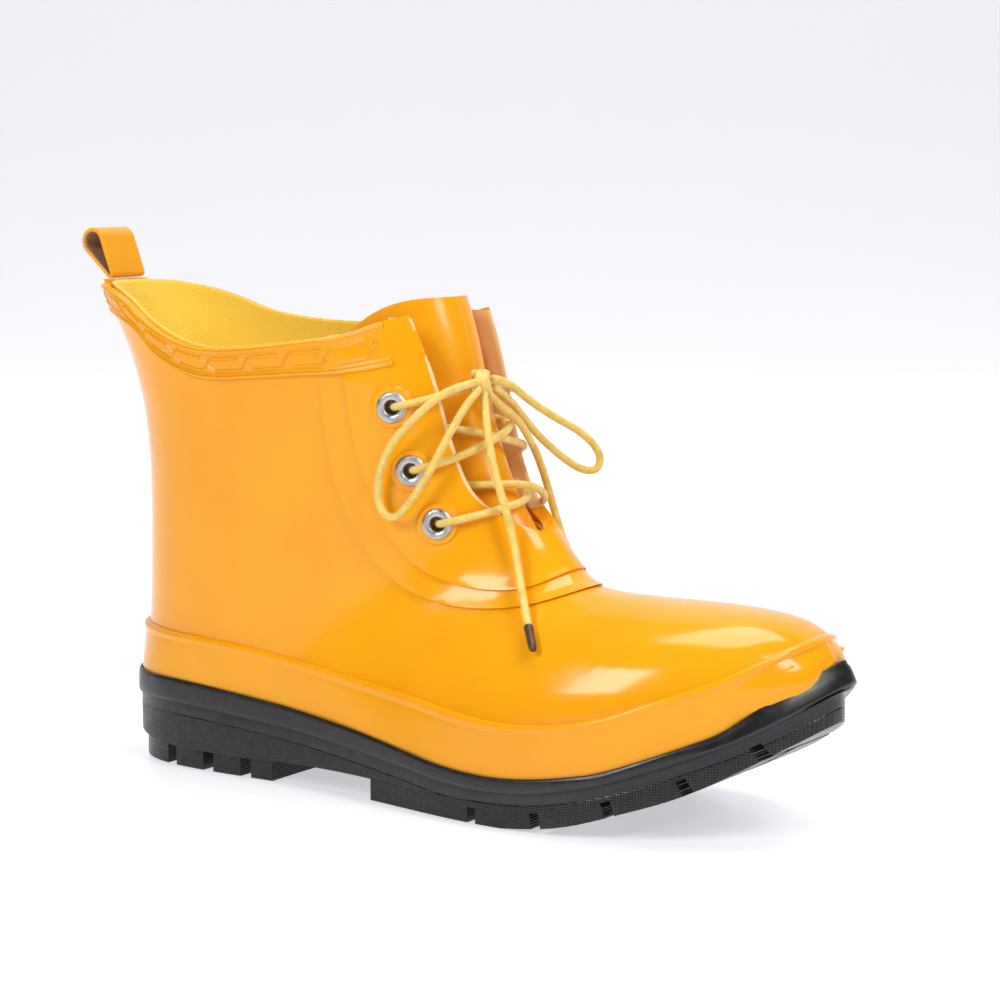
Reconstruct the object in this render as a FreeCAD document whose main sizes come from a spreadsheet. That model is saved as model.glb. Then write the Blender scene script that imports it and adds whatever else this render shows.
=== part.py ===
"""Rubber rain boot, right foot, ankle height, with a laced throat.

Design frame, in millimetres: X runs from the heel back (0) to the toe tip, Y is zero on the
boot's long line with the lateral side at -Y, and Z is up from the floor. Every sub-part is then
placed so that the middle of the whole boot's footprint is at X = 0, Y = 0.

The upper is one family of closed sections that fan round from the collar (level) to the toe
(upright). The same sections, grown or shrunk, give every layer of the boot.
"""
import FreeCAD
import Part
import math
import os
import Sketcher
from FreeCAD import Placement, Rotation, Vector

doc = FreeCAD.newDocument("rain_boot")

# ---------------------------------------------------------------- driving dimensions
sheet = doc.addObject("Spreadsheet::Sheet", "dimensions")
DIMENSIONS = [
    ("frame_x", 127.2), ("frame_y", -1.77),
    ("upper_skin", 3.0), ("lining_skin", 1.4), ("counter_skin", 1.0),
    ("overlay_skin", 1.0), ("facing_skin", 0.9), ("band_skin", 1.7), ("stay_skin", 0.9),
    ("rim_inset", 1.4), ("sole_inset", 1.2), ("lug_inset", 3.2), ("slab_height", 70.0), ("ridge_stand", 1.5),
    ("board_skin", 2.5), ("footbed_skin", 4.5), ("footbed_gap", 0.3),
    ("shank_width", 14.0), ("shank_skin", 1.6),
    ("tongue_side_gap", 11.0), ("tongue_front_gap", 4.5), ("tongue_skin", 1.5),
    ("eyelet_flange", 5.35), ("eyelet_bore", 2.5), ("eyelet_tube", 3.1), ("flange_height", 0.8),
    ("boss_top", 6.6), ("boss_foot", 8.8), ("boss_height", 0.7),
    ("washer_rim", 5.2), ("washer_bore", 3.15), ("washer_skin", 0.8),
    ("strap_width", 18.0), ("strap_skin", 1.5), ("swing_x", -12.8), ("swing_z", 172.4),
    ("root_radius", 1.7), ("strap_clearance", 0.4),
    ("lace_diameter", 2.7), ("knot_length", 11.0), ("aglet_diameter", 3.2), ("aglet_length", 11.0),
    ("groove_width", 4.6), ("groove_depth", 7.0), ("channel_width", 6.0),
]
for row, (name, value) in enumerate(DIMENSIONS, start=1):
    sheet.set("A%d" % row, name)
    sheet.set("B%d" % row, str(value))
    sheet.setAlias("B%d" % row, name)

# One row per section: back or bottom point (x, z), front or top point (x, z), half width, middle
# y, where the widest point is (share of the way from back to front), and the roundness of the
# front and back halves (2 is an ellipse, more is squarer).
SECTION_FIELDS = ("x_back", "z_back", "x_front", "z_front", "half", "middle", "widest", "front", "back")
SECTIONS = [
    (-19, 180, 138, 180, 37.5, 0.0, 0.44, 2.5, 2.2),
    (-10, 160, 141, 161, 37.0, 0.0, 0.44, 2.5, 2.2),
    (0.5, 138, 146, 143, 36.0, 0.0, 0.43, 2.5, 2.2),
    (5, 116, 150.5, 128, 34.8, 0.0, 0.42, 2.4, 2.2),
    (6, 94, 155.5, 115, 34.0, 0.0, 0.40, 2.3, 2.2),
    (5.5, 70, 161, 104, 33.6, 0.0, 0.38, 2.2, 2.2),
    (4, 45, 167.5, 95, 33.0, 0.0, 0.36, 2.1, 2.2),
    (6, 14, 174, 86.5, 32.4, -0.6, 0.36, 2.1, 2.3),
    (38, 6, 181, 79, 32.4, -1.8, 0.38, 2.1, 2.6),
    (90, 2, 190, 74.3, 34.6, -4.0, 0.40, 2.1, 2.4),
    (142, -2, 203, 72.8, 40.4, -4.8, 0.42, 2.1, 2.8),
    (184, -2, 219, 72.0, 43.5, -1.7, 0.44, 2.1, 4.0),
    (216, 6, 236, 71.4, 41.1, 1.1, 0.46, 2.1, 4.0),
    (240, 16, 252, 69.8, 34.8, 3.5, 0.48, 2.1, 4.0),
    (257, 26, 263, 66.5, 27.0, 5.0, 0.50, 2.1, 4.0),
    (268, 35, 271, 61.0, 18.0, 5.2, 0.50, 2.1, 3.5),
    (273, 44, 273.6, 57.0, 10.5, 5.8, 0.50, 2.1, 3.0),
]
SECTION_ROW = len(DIMENSIONS) + 3
for column, field in enumerate(SECTION_FIELDS):
    sheet.set("%s%d" % (chr(ord("A") + column), SECTION_ROW - 1), field)
for row, section in enumerate(SECTIONS, start=SECTION_ROW):
    for column, value in enumerate(section):
        sheet.set("%s%d" % (chr(ord("A") + column), row), str(value))
doc.recompute()


def dim(name):
    """The value of a driving dimension."""
    return float(sheet.get(name))


def station(index):
    """Section number index, as a dictionary, read from the sheet."""
    row = SECTION_ROW + index
    letters = [chr(ord("A") + column) for column in range(len(SECTION_FIELDS))]
    return {field: float(sheet.get("%s%d" % (letter, row)))
            for field, letter in zip(SECTION_FIELDS, letters)}


STATIONS = [station(index) for index in range(len(SECTIONS))]
FRAME = Placement(Vector(-dim("frame_x"), -dim("frame_y"), 0), Rotation())
FAR = 320.0
LAYER_RISE = 0.4
SHAFT_LEAN_BACK = 0.45
SHAFT_LEAN_FRONT = 0.16

# ---------------------------------------------------------------- outlines, all in the design frame
# Plan outline of the sole at its parting line: lateral side from heel to toe, then medial back.
PLAN_LATERAL = [(0, 0), (2.2, -10), (11, -24), (22, -31), (36, -34.5), (60, -36), (90, -36.5),
                (120, -40), (150, -46), (175, -49.3), (198, -48.8), (218, -45.3), (238, -38.5),
                (256, -28.5), (270, -15)]
PLAN_MEDIAL = [(279.8, 6), (274.6, 18.5), (265, 30), (252, 38.8), (235, 44.5), (215, 46), (195, 44.5),
               (175, 41), (150, 36), (120, 32.5), (90, 33), (60, 35), (36, 34), (22, 31), (11, 24),
               (2.2, 10)]

# Heights along the boot as (x, z): the sole's parting line, the black rim's top edge, the foxing's
# top ridge and the tread's lowest surface, which the floor cuts flat under the heel and the ball.
PARTING = [(-40, 23), (0, 23.3), (39, 23.6), (77, 21.1), (114, 17.4), (140, 14.8), (158, 12.8), (175, 12.2),
           (191, 13.2), (205, 15.6), (219, 19.2), (243, 28), (262, 36.5), (280, 48.7), (310, 70)]
RIM_TOP = [(-40, 31.5), (0, 31.8), (38, 31.8), (76, 28.8), (113, 24.3), (139, 20.6), (157, 18), (175, 17),
           (190, 17.7), (205, 19.8), (219, 23), (243, 32.2), (253, 36.6), (262, 43.2), (280, 56.5),
           (310, 78)]
FOXING_TOP = [(-40, 48.5), (0, 48.5), (38, 48), (75, 45.8), (112, 41.1), (140, 38.3), (157, 36.3), (174, 35),
              (190, 35.1), (204, 36.9), (218, 40.4), (230, 44.9), (246, 51), (262, 59), (271, 64.5),
              (310, 78)]
TREAD = [(-40, 9), (0, 4.5), (8, 1.4), (20, -0.6), (100, -1), (172, -0.6), (190, 0.9), (205, 3.4),
         (221, 8.4), (240, 15.2), (257, 24.3), (271, 33), (290, 46)]

# Collar edge (x, z) on the lateral and the medial side, and the drop to the band's lower edge.
COLLAR_LATERAL = [(-60, 169), (-14, 169), (2, 167.5), (14, 163.5), (24, 157.5), (38, 151.6), (51, 149),
                  (64, 149.2), (81, 151), (98, 153.4), (110, 156.2), (120, 159.8), (128, 162.2),
                  (140, 166), (160, 172)]
COLLAR_MEDIAL = [(-60, 169), (-14, 169), (2, 167), (14, 163.6), (28, 158.5), (44, 155.6), (64, 154.6),
                 (81, 155.2), (98, 156.8), (110, 158.8), (120, 160.6), (128, 162.6), (140, 166), (160, 172)]
BAND_FOOT_LATERAL = [(-60, 161), (-12, 160), (2, 159), (18, 154.5), (29.5, 146), (43, 140.8), (56, 139),
                     (74, 140.2), (95, 142), (108, 143), (122, 145.4), (134, 149.6), (160, 160)]
BAND_FOOT_MEDIAL = [(-60, 161), (-12, 160), (2, 158.6), (18, 153), (32, 148), (48, 145), (64, 144.4),
                    (81, 145.2), (98, 146.8), (110, 147.6), (122, 148.6), (134, 150.6), (160, 160)]
BAND_FRONT_X = 121.5

# Side-view edges of the eyestay overlay and of the facing that lies on it, from the collar down,
# forward under the throat and up over the instep.
OVERLAY_EDGE = [(101, 190), (101.2, 141.5), (102.4, 123.7), (105.4, 107), (112.4, 90.4), (124.7, 75.3),
                (140, 68.3), (159, 67), (176, 69.3), (189, 73.8), (210, 84)]
FACING_EDGE = [(110.5, 190), (111.4, 135.2), (113.1, 123), (115.6, 112.2), (120.2, 101.3), (124.7, 90.6),
               (131, 82.5), (139, 77.1), (151, 73.6), (163, 73), (174, 74.6), (184, 80), (205, 96)]
# Front-view half width of the throat slit, as (y, z).
THROAT = [(26, 190), (24, 162), (22, 144.5), (21, 134), (20, 121.5), (18.6, 108), (16.5, 101), (12.5, 95.5),
          (6.5, 91.8), (0, 90.6)]
THROAT_BACK_X = 95.0
# Numbers of the plan points, counted from the heel round the toe, where the outline is straightest.
SIDE_SPLIT = (6, 25)
LEAN_FLOOR = -20.0
LEAN_CEILING = 90.0
MOST_LEAN = 14.0
LINING_THROAT_STEP = 6.5
LINING_STAND = 1.2
TONGUE_EDGE = [(96, 180), (103, 150), (110, 125), (120, 104), (133, 90), (150, 80), (176, 76)]
TONGUE_TOP = [(-60, 140), (90, 144), (98, 149), (105, 156), (113, 162.5), (122, 166.5), (132, 168), (200, 168)]
TONGUE_ROOT_STEP = 3.5
# Side-view edges of the two stiffeners inside the heel and the toe.
COUNTER_EDGE = [(-40, 74), (0, 74), (30, 69), (60, 54), (74, 38), (84, 15)]
PUFF_EDGE = [(226, 10), (229, 30), (237, 52), (243, 90)]

# Eyelets on the lateral side: where each axis crosses the upper's outer skin, and its direction.
EYELETS = [((126.3, -27.3, 132.3), (0.363, -0.932, -0.007)),
           ((132.3, -25.1, 111.2), (0.351, -0.936, 0.020)),
           ((141.1, -22.4, 93.6), (0.356, -0.934, 0.029))]


# ---------------------------------------------------------------- geometry helpers
def signed_power(value, exponent):
    if abs(value) < 1e-9:
        return 0.0
    return math.copysign(abs(value) ** exponent, value)


def section_point(section, angle, side, front, back):
    """Point of a section at an angle: 0 is medial, a quarter turn is the front or top."""
    foot = Vector(section["x_back"], 0, section["z_back"])
    tip = Vector(section["x_front"], 0, section["z_front"])
    length = (tip - foot).Length
    along = (tip - foot).normalize()
    widest = section["widest"] * length
    ahead = math.sin(angle) >= 0
    power = 2 / (section["front"] if ahead else section["back"])
    reach = length - widest + front if ahead else widest + back
    step = widest + reach * signed_power(math.sin(angle), power)
    across = section["middle"] + (section["half"] + side) * signed_power(math.cos(angle), power)
    return foot + along * step + Vector(0, across, 0)


def section_wire(section, side, front, back, count=12):
    """Closed section in two halves, grown by side, front and back (shrunk where negative)."""
    halves = []
    for start in (-math.pi / 2, math.pi / 2):
        angles = [start + math.pi * index / count for index in range(count + 1)]
        curve = Part.BSplineCurve()
        curve.interpolate([section_point(section, angle, side, front, back) for angle in angles])
        halves.append(curve.toShape())
    return Part.Wire(halves)


def raised(section, rise):
    """The top section moved up along the shaft, so that no two layers end in one plane."""
    moved = dict(section)
    moved["z_back"] += rise
    moved["z_front"] += rise
    moved["x_back"] -= rise * SHAFT_LEAN_BACK
    moved["x_front"] -= rise * SHAFT_LEAN_FRONT
    return moved


def boot_solid(offset, front=None, sections=None):
    """Solid bounded by the upper's outer skin moved out by offset (or in, when negative)."""
    if sections is None:
        sections = STATIONS if offset > -0.5 else STATIONS[:-1]
    front = offset if front is None else front
    sections = [raised(sections[0], -LAYER_RISE * offset)] + sections[1:]
    wires = [section_wire(section, offset, front, offset) for section in sections]
    return Part.makeLoft(wires, True, False)


def spline(points):
    curve = Part.BSplineCurve()
    curve.interpolate(points)
    return curve.toShape()


def side_prism(curve, closing, y_from=-FAR, y_to=FAR):
    """Region of the side view, bounded by a smooth curve and straight closing lines."""
    edge = spline([Vector(x, y_from, z) for x, z in curve])
    corners = [Vector(x, y_from, z) for x, z in [curve[-1]] + closing + [curve[0]]]
    lines = [Part.LineSegment(a, b).toShape() for a, b in zip(corners[:-1], corners[1:])]
    return Part.Face(Part.Wire([edge] + lines)).extrude(Vector(0, y_to - y_from, 0))


def above(curve, y_from=-FAR, y_to=FAR):
    closing = [(FAR, curve[-1][1]), (FAR, FAR), (-FAR, FAR), (-FAR, curve[0][1])]
    return side_prism(curve, closing, y_from, y_to)


def below(curve, y_from=-FAR, y_to=FAR):
    closing = [(FAR, curve[-1][1]), (FAR, -FAR), (-FAR, -FAR), (-FAR, curve[0][1])]
    return side_prism(curve, closing, y_from, y_to)


def ahead_of(curve):
    """Everything forward of a side-view edge that runs down and then forward."""
    return side_prism(curve, [(FAR, curve[-1][1]), (FAR, curve[0][1])])


def lifted(curve, rise):
    return [(x, z + rise) for x, z in curve]


def both_sides(lateral, medial, region):
    """A region that follows one side-view curve on the lateral side and another on the medial."""
    return region(lateral, -FAR, 0).fuse(region(medial, 0, FAR))


def plan_normals():
    """Inward direction at each point of the sole's plan outline."""
    loop = PLAN_LATERAL + PLAN_MEDIAL
    inward = []
    for index in range(len(loop)):
        before = loop[index - 1]
        after = loop[(index + 1) % len(loop)]
        run = Vector(after[0] - before[0], after[1] - before[1], 0).normalize()
        inward.append(Vector(-run.y, run.x, 0))
    return inward


def plan_points(inset):
    loop = PLAN_LATERAL + PLAN_MEDIAL
    return [(x + inset * step.x, y + inset * step.y) for (x, y), step in zip(loop, plan_normals())]


def plan_face(inset, height=-20.0):
    """The sole's plan outline moved inwards, as a face at a height."""
    curve = Part.BSplineCurve()
    curve.interpolate([Vector(x, y, height) for x, y in plan_points(inset)], PeriodicFlag=True)
    return Part.Face(Part.Wire([curve.toShape()]))


def closed_outline(points):
    """Smooth closed wire through the plan points, in two halves that meet on the straight sides."""
    first, last = SIDE_SPLIT
    halves = []
    for half in (points[first:last + 1], points[last:] + points[:first + 1]):
        curve = Part.BSplineCurve()
        curve.interpolate(half)
        halves.append(curve.toShape())
    return Part.Wire(halves)


def curve_height(curve, x):
    """Height of a curve of (x, z) points at x, by straight runs."""
    for (x0, z0), (x1, z1) in zip(curve[:-1], curve[1:]):
        if x0 <= x <= x1:
            return z0 + (z1 - z0) * (x - x0) / (x1 - x0)
    return curve[-1][1] if x > curve[-1][0] else curve[0][1]


def lean_in(foot, inward, solid):
    """How far inwards from its foot the foxing's ridge meets a solid."""
    low = 0.0
    high = MOST_LEAN
    for _ in range(9):
        middle = (low + high) / 2
        spot = foot + inward * middle
        spot.z = curve_height(FOXING_TOP, spot.x)
        if solid.isInside(spot, 0.01, True):
            high = middle
        else:
            low = middle
    return low


def plan_prism(inset):
    return plan_face(inset).extrude(Vector(0, 0, 140))


def throat_prism(step):
    """The slit between the eyestays, wider by step on each side, cut from the front."""
    left = [Vector(THROAT_BACK_X, -y - step, z) for y, z in THROAT[:-1]]
    tip = [Vector(THROAT_BACK_X, 0, THROAT[-1][1] - step)]
    right = [Vector(THROAT_BACK_X, y + step, z) for y, z in reversed(THROAT[:-1])]
    edge = spline(left + tip + right)
    top = Part.LineSegment(right[-1], left[0]).toShape()
    return Part.Face(Part.Wire([edge, top])).extrude(Vector(120, 0, 0))


def whole(shape):
    """The one solid of a boolean result."""
    solids = shape.Solids
    if not solids:
        raise ValueError("a piece came out empty")
    return max(solids, key=lambda solid: solid.Volume)


def add_piece(name, shape):
    """A sub-part whose shape is built from the sheet's sizes."""
    piece = doc.addObject("Part::Feature", name)
    piece.Label = name
    piece.Shape = whole(shape.removeSplitter())
    piece.Placement = FRAME
    pieces.append(piece)
    return piece


def eyelet_place(side, row, lift=0.0):
    """Placement of an eyelet's axis: local Z points out of the boot. side is -1 for lateral."""
    (x, y, z), (nx, ny, nz) = EYELETS[row]
    axis = Vector(nx, -ny * side, nz).normalize()
    middle = Vector(x, -y * side, z) + axis * lift
    return Placement(middle, Rotation(Vector(0, 0, 1), axis))


def axial(side, row, radius, low, high):
    """A cylinder on an eyelet's axis, between two distances from the upper's outer skin."""
    cylinder = Part.makeCylinder(radius, high - low, Vector(0, 0, low), Vector(0, 0, 1))
    cylinder.Placement = eyelet_place(side, row)
    return cylinder


pieces = []
SIDES = (("lateral", -1), ("medial", 1))
HOLES = [(name, side, row) for name, side in SIDES for row in range(len(EYELETS))]

# ---------------------------------------------------------------- layers of the upper
skin = dim("upper_skin")
lining_depth = skin + dim("lining_skin")
outer = boot_solid(0)
inner = boot_solid(-skin)
sock = boot_solid(-lining_depth)
over_overlay = boot_solid(dim("overlay_skin"))
over_facing = boot_solid(dim("overlay_skin") + dim("facing_skin"))
over_band = boot_solid(dim("band_skin"))
over_stay = boot_solid(dim("stay_skin"))

over_sole = above(PARTING)
under_collar = both_sides(COLLAR_LATERAL, COLLAR_MEDIAL, below)
throat = throat_prism(0)
lining_throat = throat_prism(LINING_THROAT_STEP)
overlay_region = ahead_of(OVERLAY_EDGE)
facing_region = ahead_of(FACING_EDGE)
bores = [axial(side, row, dim("eyelet_tube"), -12, 12) for _, side, row in HOLES]

# The pull strap's bonded tails straddle the collar's back edge.
TAIL_FOOT = 152.0
TAIL_BACK_X = -32.0
TAIL_DEPTH = 40.0
strap_half = dim("strap_width") / 2
anchor_top = dim("swing_z") - dim("root_radius") - dim("strap_clearance")
tail_box = Part.makeBox(TAIL_DEPTH, 2 * strap_half, anchor_top - TAIL_FOOT,
                        Vector(TAIL_BACK_X, -strap_half, TAIL_FOOT))
tail_shell = over_stay.cut(sock).common(tail_box)
anchor = tail_shell.cut(outer.cut(inner).common(under_collar))
add_piece("pull_loop_anchor", anchor)

add_piece("upper_shell", outer.cut(inner).common(over_sole).common(under_collar).cut(throat).cut(bores))

overlay = over_overlay.cut(outer).common(overlay_region).common(under_collar).cut(throat).cut(bores)
add_piece("eyestay_overlay", overlay)

facing = over_facing.cut(over_overlay).common(facing_region).common(under_collar).cut(throat)
facing_height = dim("overlay_skin") + dim("facing_skin")
boss_top = facing_height + dim("boss_height")
for _, side, row in HOLES:
    boss = Part.makeCone(dim("boss_foot"), dim("boss_top"), boss_top, Vector(0, 0, 0), Vector(0, 0, 1))
    boss.Placement = eyelet_place(side, row)
    facing = facing.fuse(boss.cut(over_overlay).cut(throat))
band_zone = both_sides(BAND_FOOT_LATERAL, BAND_FOOT_MEDIAL, above)
facing = facing.cut(bores)
band_space = band_zone.cut(Part.makeBox(100, 200, 200, Vector(BAND_FRONT_X, -100, 50)))
add_piece("eyelet_facing", facing.cut(band_space))

band = over_band.cut(outer).common(band_space).common(under_collar)
band = band.cut(overlay).cut(anchor)
add_piece("collar_band", band)

STAY_HALF = 7.0
stay_box = Part.makeBox(50, 2 * STAY_HALF, 110, Vector(-30, -STAY_HALF, 40))
stay = over_stay.cut(outer).common(stay_box).common(above(FOXING_TOP)).cut(band_zone)
add_piece("heel_stay", stay)

# ---------------------------------------------------------------- inside of the upper
over_board = above(lifted(PARTING, dim("board_skin")))
liner_core = boot_solid(-skin - dim("counter_skin"))
counter_shell = inner.cut(liner_core).common(over_board)
heel_zone = side_prism(COUNTER_EDGE, [(COUNTER_EDGE[0][0], COUNTER_EDGE[-1][1])])
counter = counter_shell.common(heel_zone)
add_piece("heel_counter", counter)
puff = counter_shell.common(side_prism(PUFF_EDGE, [(FAR, PUFF_EDGE[-1][1]), (FAR, PUFF_EDGE[0][1])]))
add_piece("toe_puff", puff)
spot_faces = [axial(side, row, dim("washer_rim") + 0.1, -14, -skin - 0.7) for _, side, row in HOLES]
lining_top = both_sides(lifted(COLLAR_LATERAL, LINING_STAND), lifted(COLLAR_MEDIAL, LINING_STAND), below)
lining = inner.cut(sock).common(over_board).common(lining_top)
lining = lining.cut(lining_throat).cut(counter).cut(puff).cut(tail_box).cut(bores).cut(spot_faces)
add_piece("lining", lining)

board = inner.common(over_sole).cut(over_board)
add_piece("insole_board", board)
footbed_core = boot_solid(-lining_depth - dim("footbed_gap"))
footbed_top = lifted(PARTING, dim("board_skin") + dim("footbed_skin"))
add_piece("footbed", footbed_core.common(over_board).common(below(footbed_top)))

# The tongue stands further in at its sides than at its ridge, so the laces pass over it, and it is
# rooted along its back edges on the lining.
side_gap = dim("tongue_side_gap")
front_gap = dim("tongue_front_gap")
tongue_out = boot_solid(-side_gap, -front_gap, STATIONS[:14])
tongue_in = boot_solid(-side_gap - dim("tongue_skin"), -front_gap - dim("tongue_skin"), STATIONS[:15])
tongue_zone = ahead_of(TONGUE_EDGE).common(below(TONGUE_TOP))
root_edge = [(x + TONGUE_ROOT_STEP, z) for x, z in TONGUE_EDGE]
root_zone = tongue_zone.cut(ahead_of(root_edge)).common(below(lifted(COLLAR_LATERAL, -6)))
tongue = tongue_out.cut(tongue_in).common(tongue_zone)
roots = sock.cut(tongue_in).common(root_zone)
add_piece("tongue", tongue.fuse(roots).cut(spot_faces))

# ---------------------------------------------------------------- foxing, rim and outsole
# The foxing's outer face runs from the rim's top edge up to its ridge, which lies on the upper, so
# it leans in round the toe. A film of cement parts it from the rim.
CEMENT = 0.03
rim_foot = [Vector(x, y, LEAN_FLOOR) for x, y in plan_points(dim("rim_inset"))]
rim_core = Part.Face(closed_outline(rim_foot)).extrude(Vector(0, 0, LEAN_CEILING - LEAN_FLOOR))
rim = plan_face(0).extrude(Vector(0, 0, 140)).common(over_sole).common(below(RIM_TOP))
add_piece("sole_rim", rim.cut(rim_core))

ridge_skin = boot_solid(dim("ridge_stand"))
feet = []
ridge = []
for (x, y), inward in zip(plan_points(dim("rim_inset") + CEMENT), plan_normals()):
    lean = inward * lean_in(Vector(x, y, 0), inward, ridge_skin)
    feet.append(Vector(x, y, curve_height(RIM_TOP, x)))
    ridge.append(Vector(x + lean.x, y + lean.y, curve_height(FOXING_TOP, x + lean.x)))
under_feet = [Vector(foot.x, foot.y, LEAN_FLOOR) for foot in feet]
over_ridge = [Vector(top.x, top.y, LEAN_CEILING) for top in ridge]
levels = [closed_outline(points) for points in (under_feet, feet, ridge, over_ridge)]
leaning = Part.makeLoft(levels, True, True)
add_piece("foxing_band", leaning.common(below(FOXING_TOP)).common(over_sole).cut(outer))

SHANK_FROM = 68.0
SHANK_TO = 152.0
shank_slab = below(PARTING).cut(below(lifted(PARTING, -dim("shank_skin"))))
shank_box = Part.makeBox(SHANK_TO - SHANK_FROM, dim("shank_width"), 60,
                         Vector(SHANK_FROM, -dim("shank_width") / 2 - 2, 0))
shank = shank_slab.common(shank_box)
add_piece("shank", shank)


def sketch_on(body, plane_role, name):
    """An empty sketch on one of a body's own origin planes."""
    sketch = body.newObject("Sketcher::SketchObject", name)
    plane = [item for item in body.Origin.OriginFeatures if item.Role == plane_role][0]
    sketch.AttachmentSupport = (plane, [""])
    sketch.MapMode = "FlatFace"
    return sketch


def add_loop(sketch, points):
    """Straight closed loop through points (u, v) of the sketch's plane."""
    for a, b in zip(points, points[1:] + points[:1]):
        sketch.addGeometry(Part.LineSegment(Vector(a[0], a[1], 0), Vector(b[0], b[1], 0)), False)


outsole_body = doc.addObject("PartDesign::Body", "outsole_blank")
outline_sketch = sketch_on(outsole_body, "XY_Plane", "sole_outline")
outline_edge = plan_face(dim("sole_inset"), 0.0).Edges[0]
outline_sketch.addGeometry(outline_edge.Curve, False)
slab = outsole_body.newObject("PartDesign::Pad", "sole_slab")
slab.Profile = outline_sketch
slab.setExpression("Length", "dimensions.slab_height")
doc.recompute()

# Tread: cross grooves from heel to toe that follow its slope, shallower in the forefoot, the arch
# recess, and a channel down the middle.
floor_box = Part.makeBox(2 * FAR, 2 * FAR, FAR, Vector(-FAR, -FAR, -FAR))
tread_body = below(PARTING).cut(below(TREAD)).cut(floor_box)
GROOVES = [29.0, 47.0, 64.0, 167.5, 192.5, 217.5, 241.0, 261.0]
ARCH_FROM = 78.0
ARCH_TO = 123.0
ARCH_HEIGHT = 7.3
FOREFOOT_SHARE = 0.72


def tread_height(x):
    for (x0, z0), (x1, z1) in zip(TREAD[:-1], TREAD[1:]):
        if x0 <= x <= x1:
            return max(0.0, z0 + (z1 - z0) * (x - x0) / (x1 - x0))
    return 0.0


cuts = [Part.makeBox(ARCH_TO - ARCH_FROM, 200, ARCH_HEIGHT + 20, Vector(ARCH_FROM, -100, -20))]
for x in GROOVES:
    share = 1.0 if x < ARCH_FROM else FOREFOOT_SHARE
    slope = math.degrees(math.atan2(tread_height(x + 4) - tread_height(x - 4), 8.0))
    groove = Part.makeBox(dim("groove_width") * share, 200, dim("groove_depth") * share + 20)
    groove.Placement = Placement(Vector(x, -100, tread_height(x) - 20), Rotation(Vector(0, 1, 0), -slope),
                                 Vector(0, 0, 20))
    cuts.append(groove)
for x_from, x_to, y in ((10.0, ARCH_FROM, 0.0), (ARCH_TO, 262.0, 2.0)):
    corner = Vector(x_from, y - dim("channel_width") / 2, -10)
    channel_box = Part.makeBox(x_to - x_from, dim("channel_width"), 80, corner)
    cuts.append(channel_box.common(below(lifted(TREAD, 4.0))))
lug_trim = plan_prism(0).cut(plan_prism(dim("lug_inset"))).common(below(lifted(TREAD, 9.0)))
outsole = outsole_body.Shape.common(tread_body).cut(cuts + [lug_trim, shank])
add_piece("outsole", outsole)


# ---------------------------------------------------------------- eyelets and washers
def bind(item, sizes):
    for size, expression in sizes.items():
        item.setExpression(size, expression)


def profile_body(name, corners):
    """A turned piece: straight-sided half profile of (radius, height) expressions, round Z."""
    body = doc.addObject("PartDesign::Body", name)
    body.Label = name
    sketch = sketch_on(body, "XZ_Plane", name + "_profile")
    values = [(sheet.evalExpression(r), sheet.evalExpression(z)) for r, z in corners]
    add_loop(sketch, values)
    count = len(corners)
    for index in range(count):
        sketch.addConstraint(Sketcher.Constraint("Coincident", index, 2, (index + 1) % count, 1))
    for index, (r, z) in enumerate(corners):
        away, up = values[index]
        for kind, value, expression in (("DistanceX", away, r), ("DistanceY", up, z)):
            number = sketch.addConstraint(Sketcher.Constraint(kind, -1, 1, index, 1, value))
            sketch.setExpression("Constraints[%d]" % number, expression)
    turned = body.newObject("PartDesign::Revolution", name + "_turned")
    turned.Profile = sketch
    turned.ReferenceAxis = (sketch, ["V_Axis"])
    turned.Angle = 360
    return body


SHEET = "dimensions."
SEAT = SHEET + "overlay_skin + " + SHEET + "facing_skin + " + SHEET + "boss_height"
WASHER_SEAT = "-" + SHEET + "upper_skin - 0.7"
WASHER_FACE = WASHER_SEAT + " - " + SHEET + "washer_skin"
BORE = SHEET + "eyelet_bore"
TUBE = SHEET + "eyelet_tube"
FLANGE = SHEET + "eyelet_flange"
RISE = SHEET + "flange_height"
EYELET_PROFILE = [(BORE, WASHER_FACE + " - 0.4"), (TUBE + " + 0.8", WASHER_FACE + " - 0.4"),
                  (TUBE + " + 0.8", WASHER_FACE), (TUBE, WASHER_FACE), (TUBE, SEAT), (FLANGE, SEAT),
                  (FLANGE + " - 0.25", SEAT + " + 0.45 * " + RISE), (FLANGE + " - 1.0", SEAT + " + " + RISE),
                  (BORE + " + 0.9", SEAT + " + " + RISE), (BORE + " + 0.2", SEAT + " + 0.6 * " + RISE),
                  (BORE, SEAT)]
WASHER_PROFILE = [(SHEET + "washer_bore", WASHER_FACE), (SHEET + "washer_rim", WASHER_FACE),
                  (SHEET + "washer_rim", WASHER_SEAT), (SHEET + "washer_bore", WASHER_SEAT)]
for side_name, side, row in HOLES:
    for kind, profile in (("eyelet", EYELET_PROFILE), ("eyelet_washer", WASHER_PROFILE)):
        fitting = profile_body("%s_%s_%d" % (kind, side_name, row + 1), profile)
        fitting.Placement = FRAME.multiply(eyelet_place(side, row))
        pieces.append(fitting)

# ---------------------------------------------------------------- pull loop
# One strap folded into a teardrop that leans back over the heel and swings about its root.
LOOP_TOP = Vector(-20.6, 0, 183.8)
LOOP_RADIUS = 5.0
loop_body = doc.addObject("PartDesign::Body", "pull_loop")
loop_body.Label = "pull_loop"
loop_sketch = sketch_on(loop_body, "XZ_Plane", "pull_loop_profile")


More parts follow.
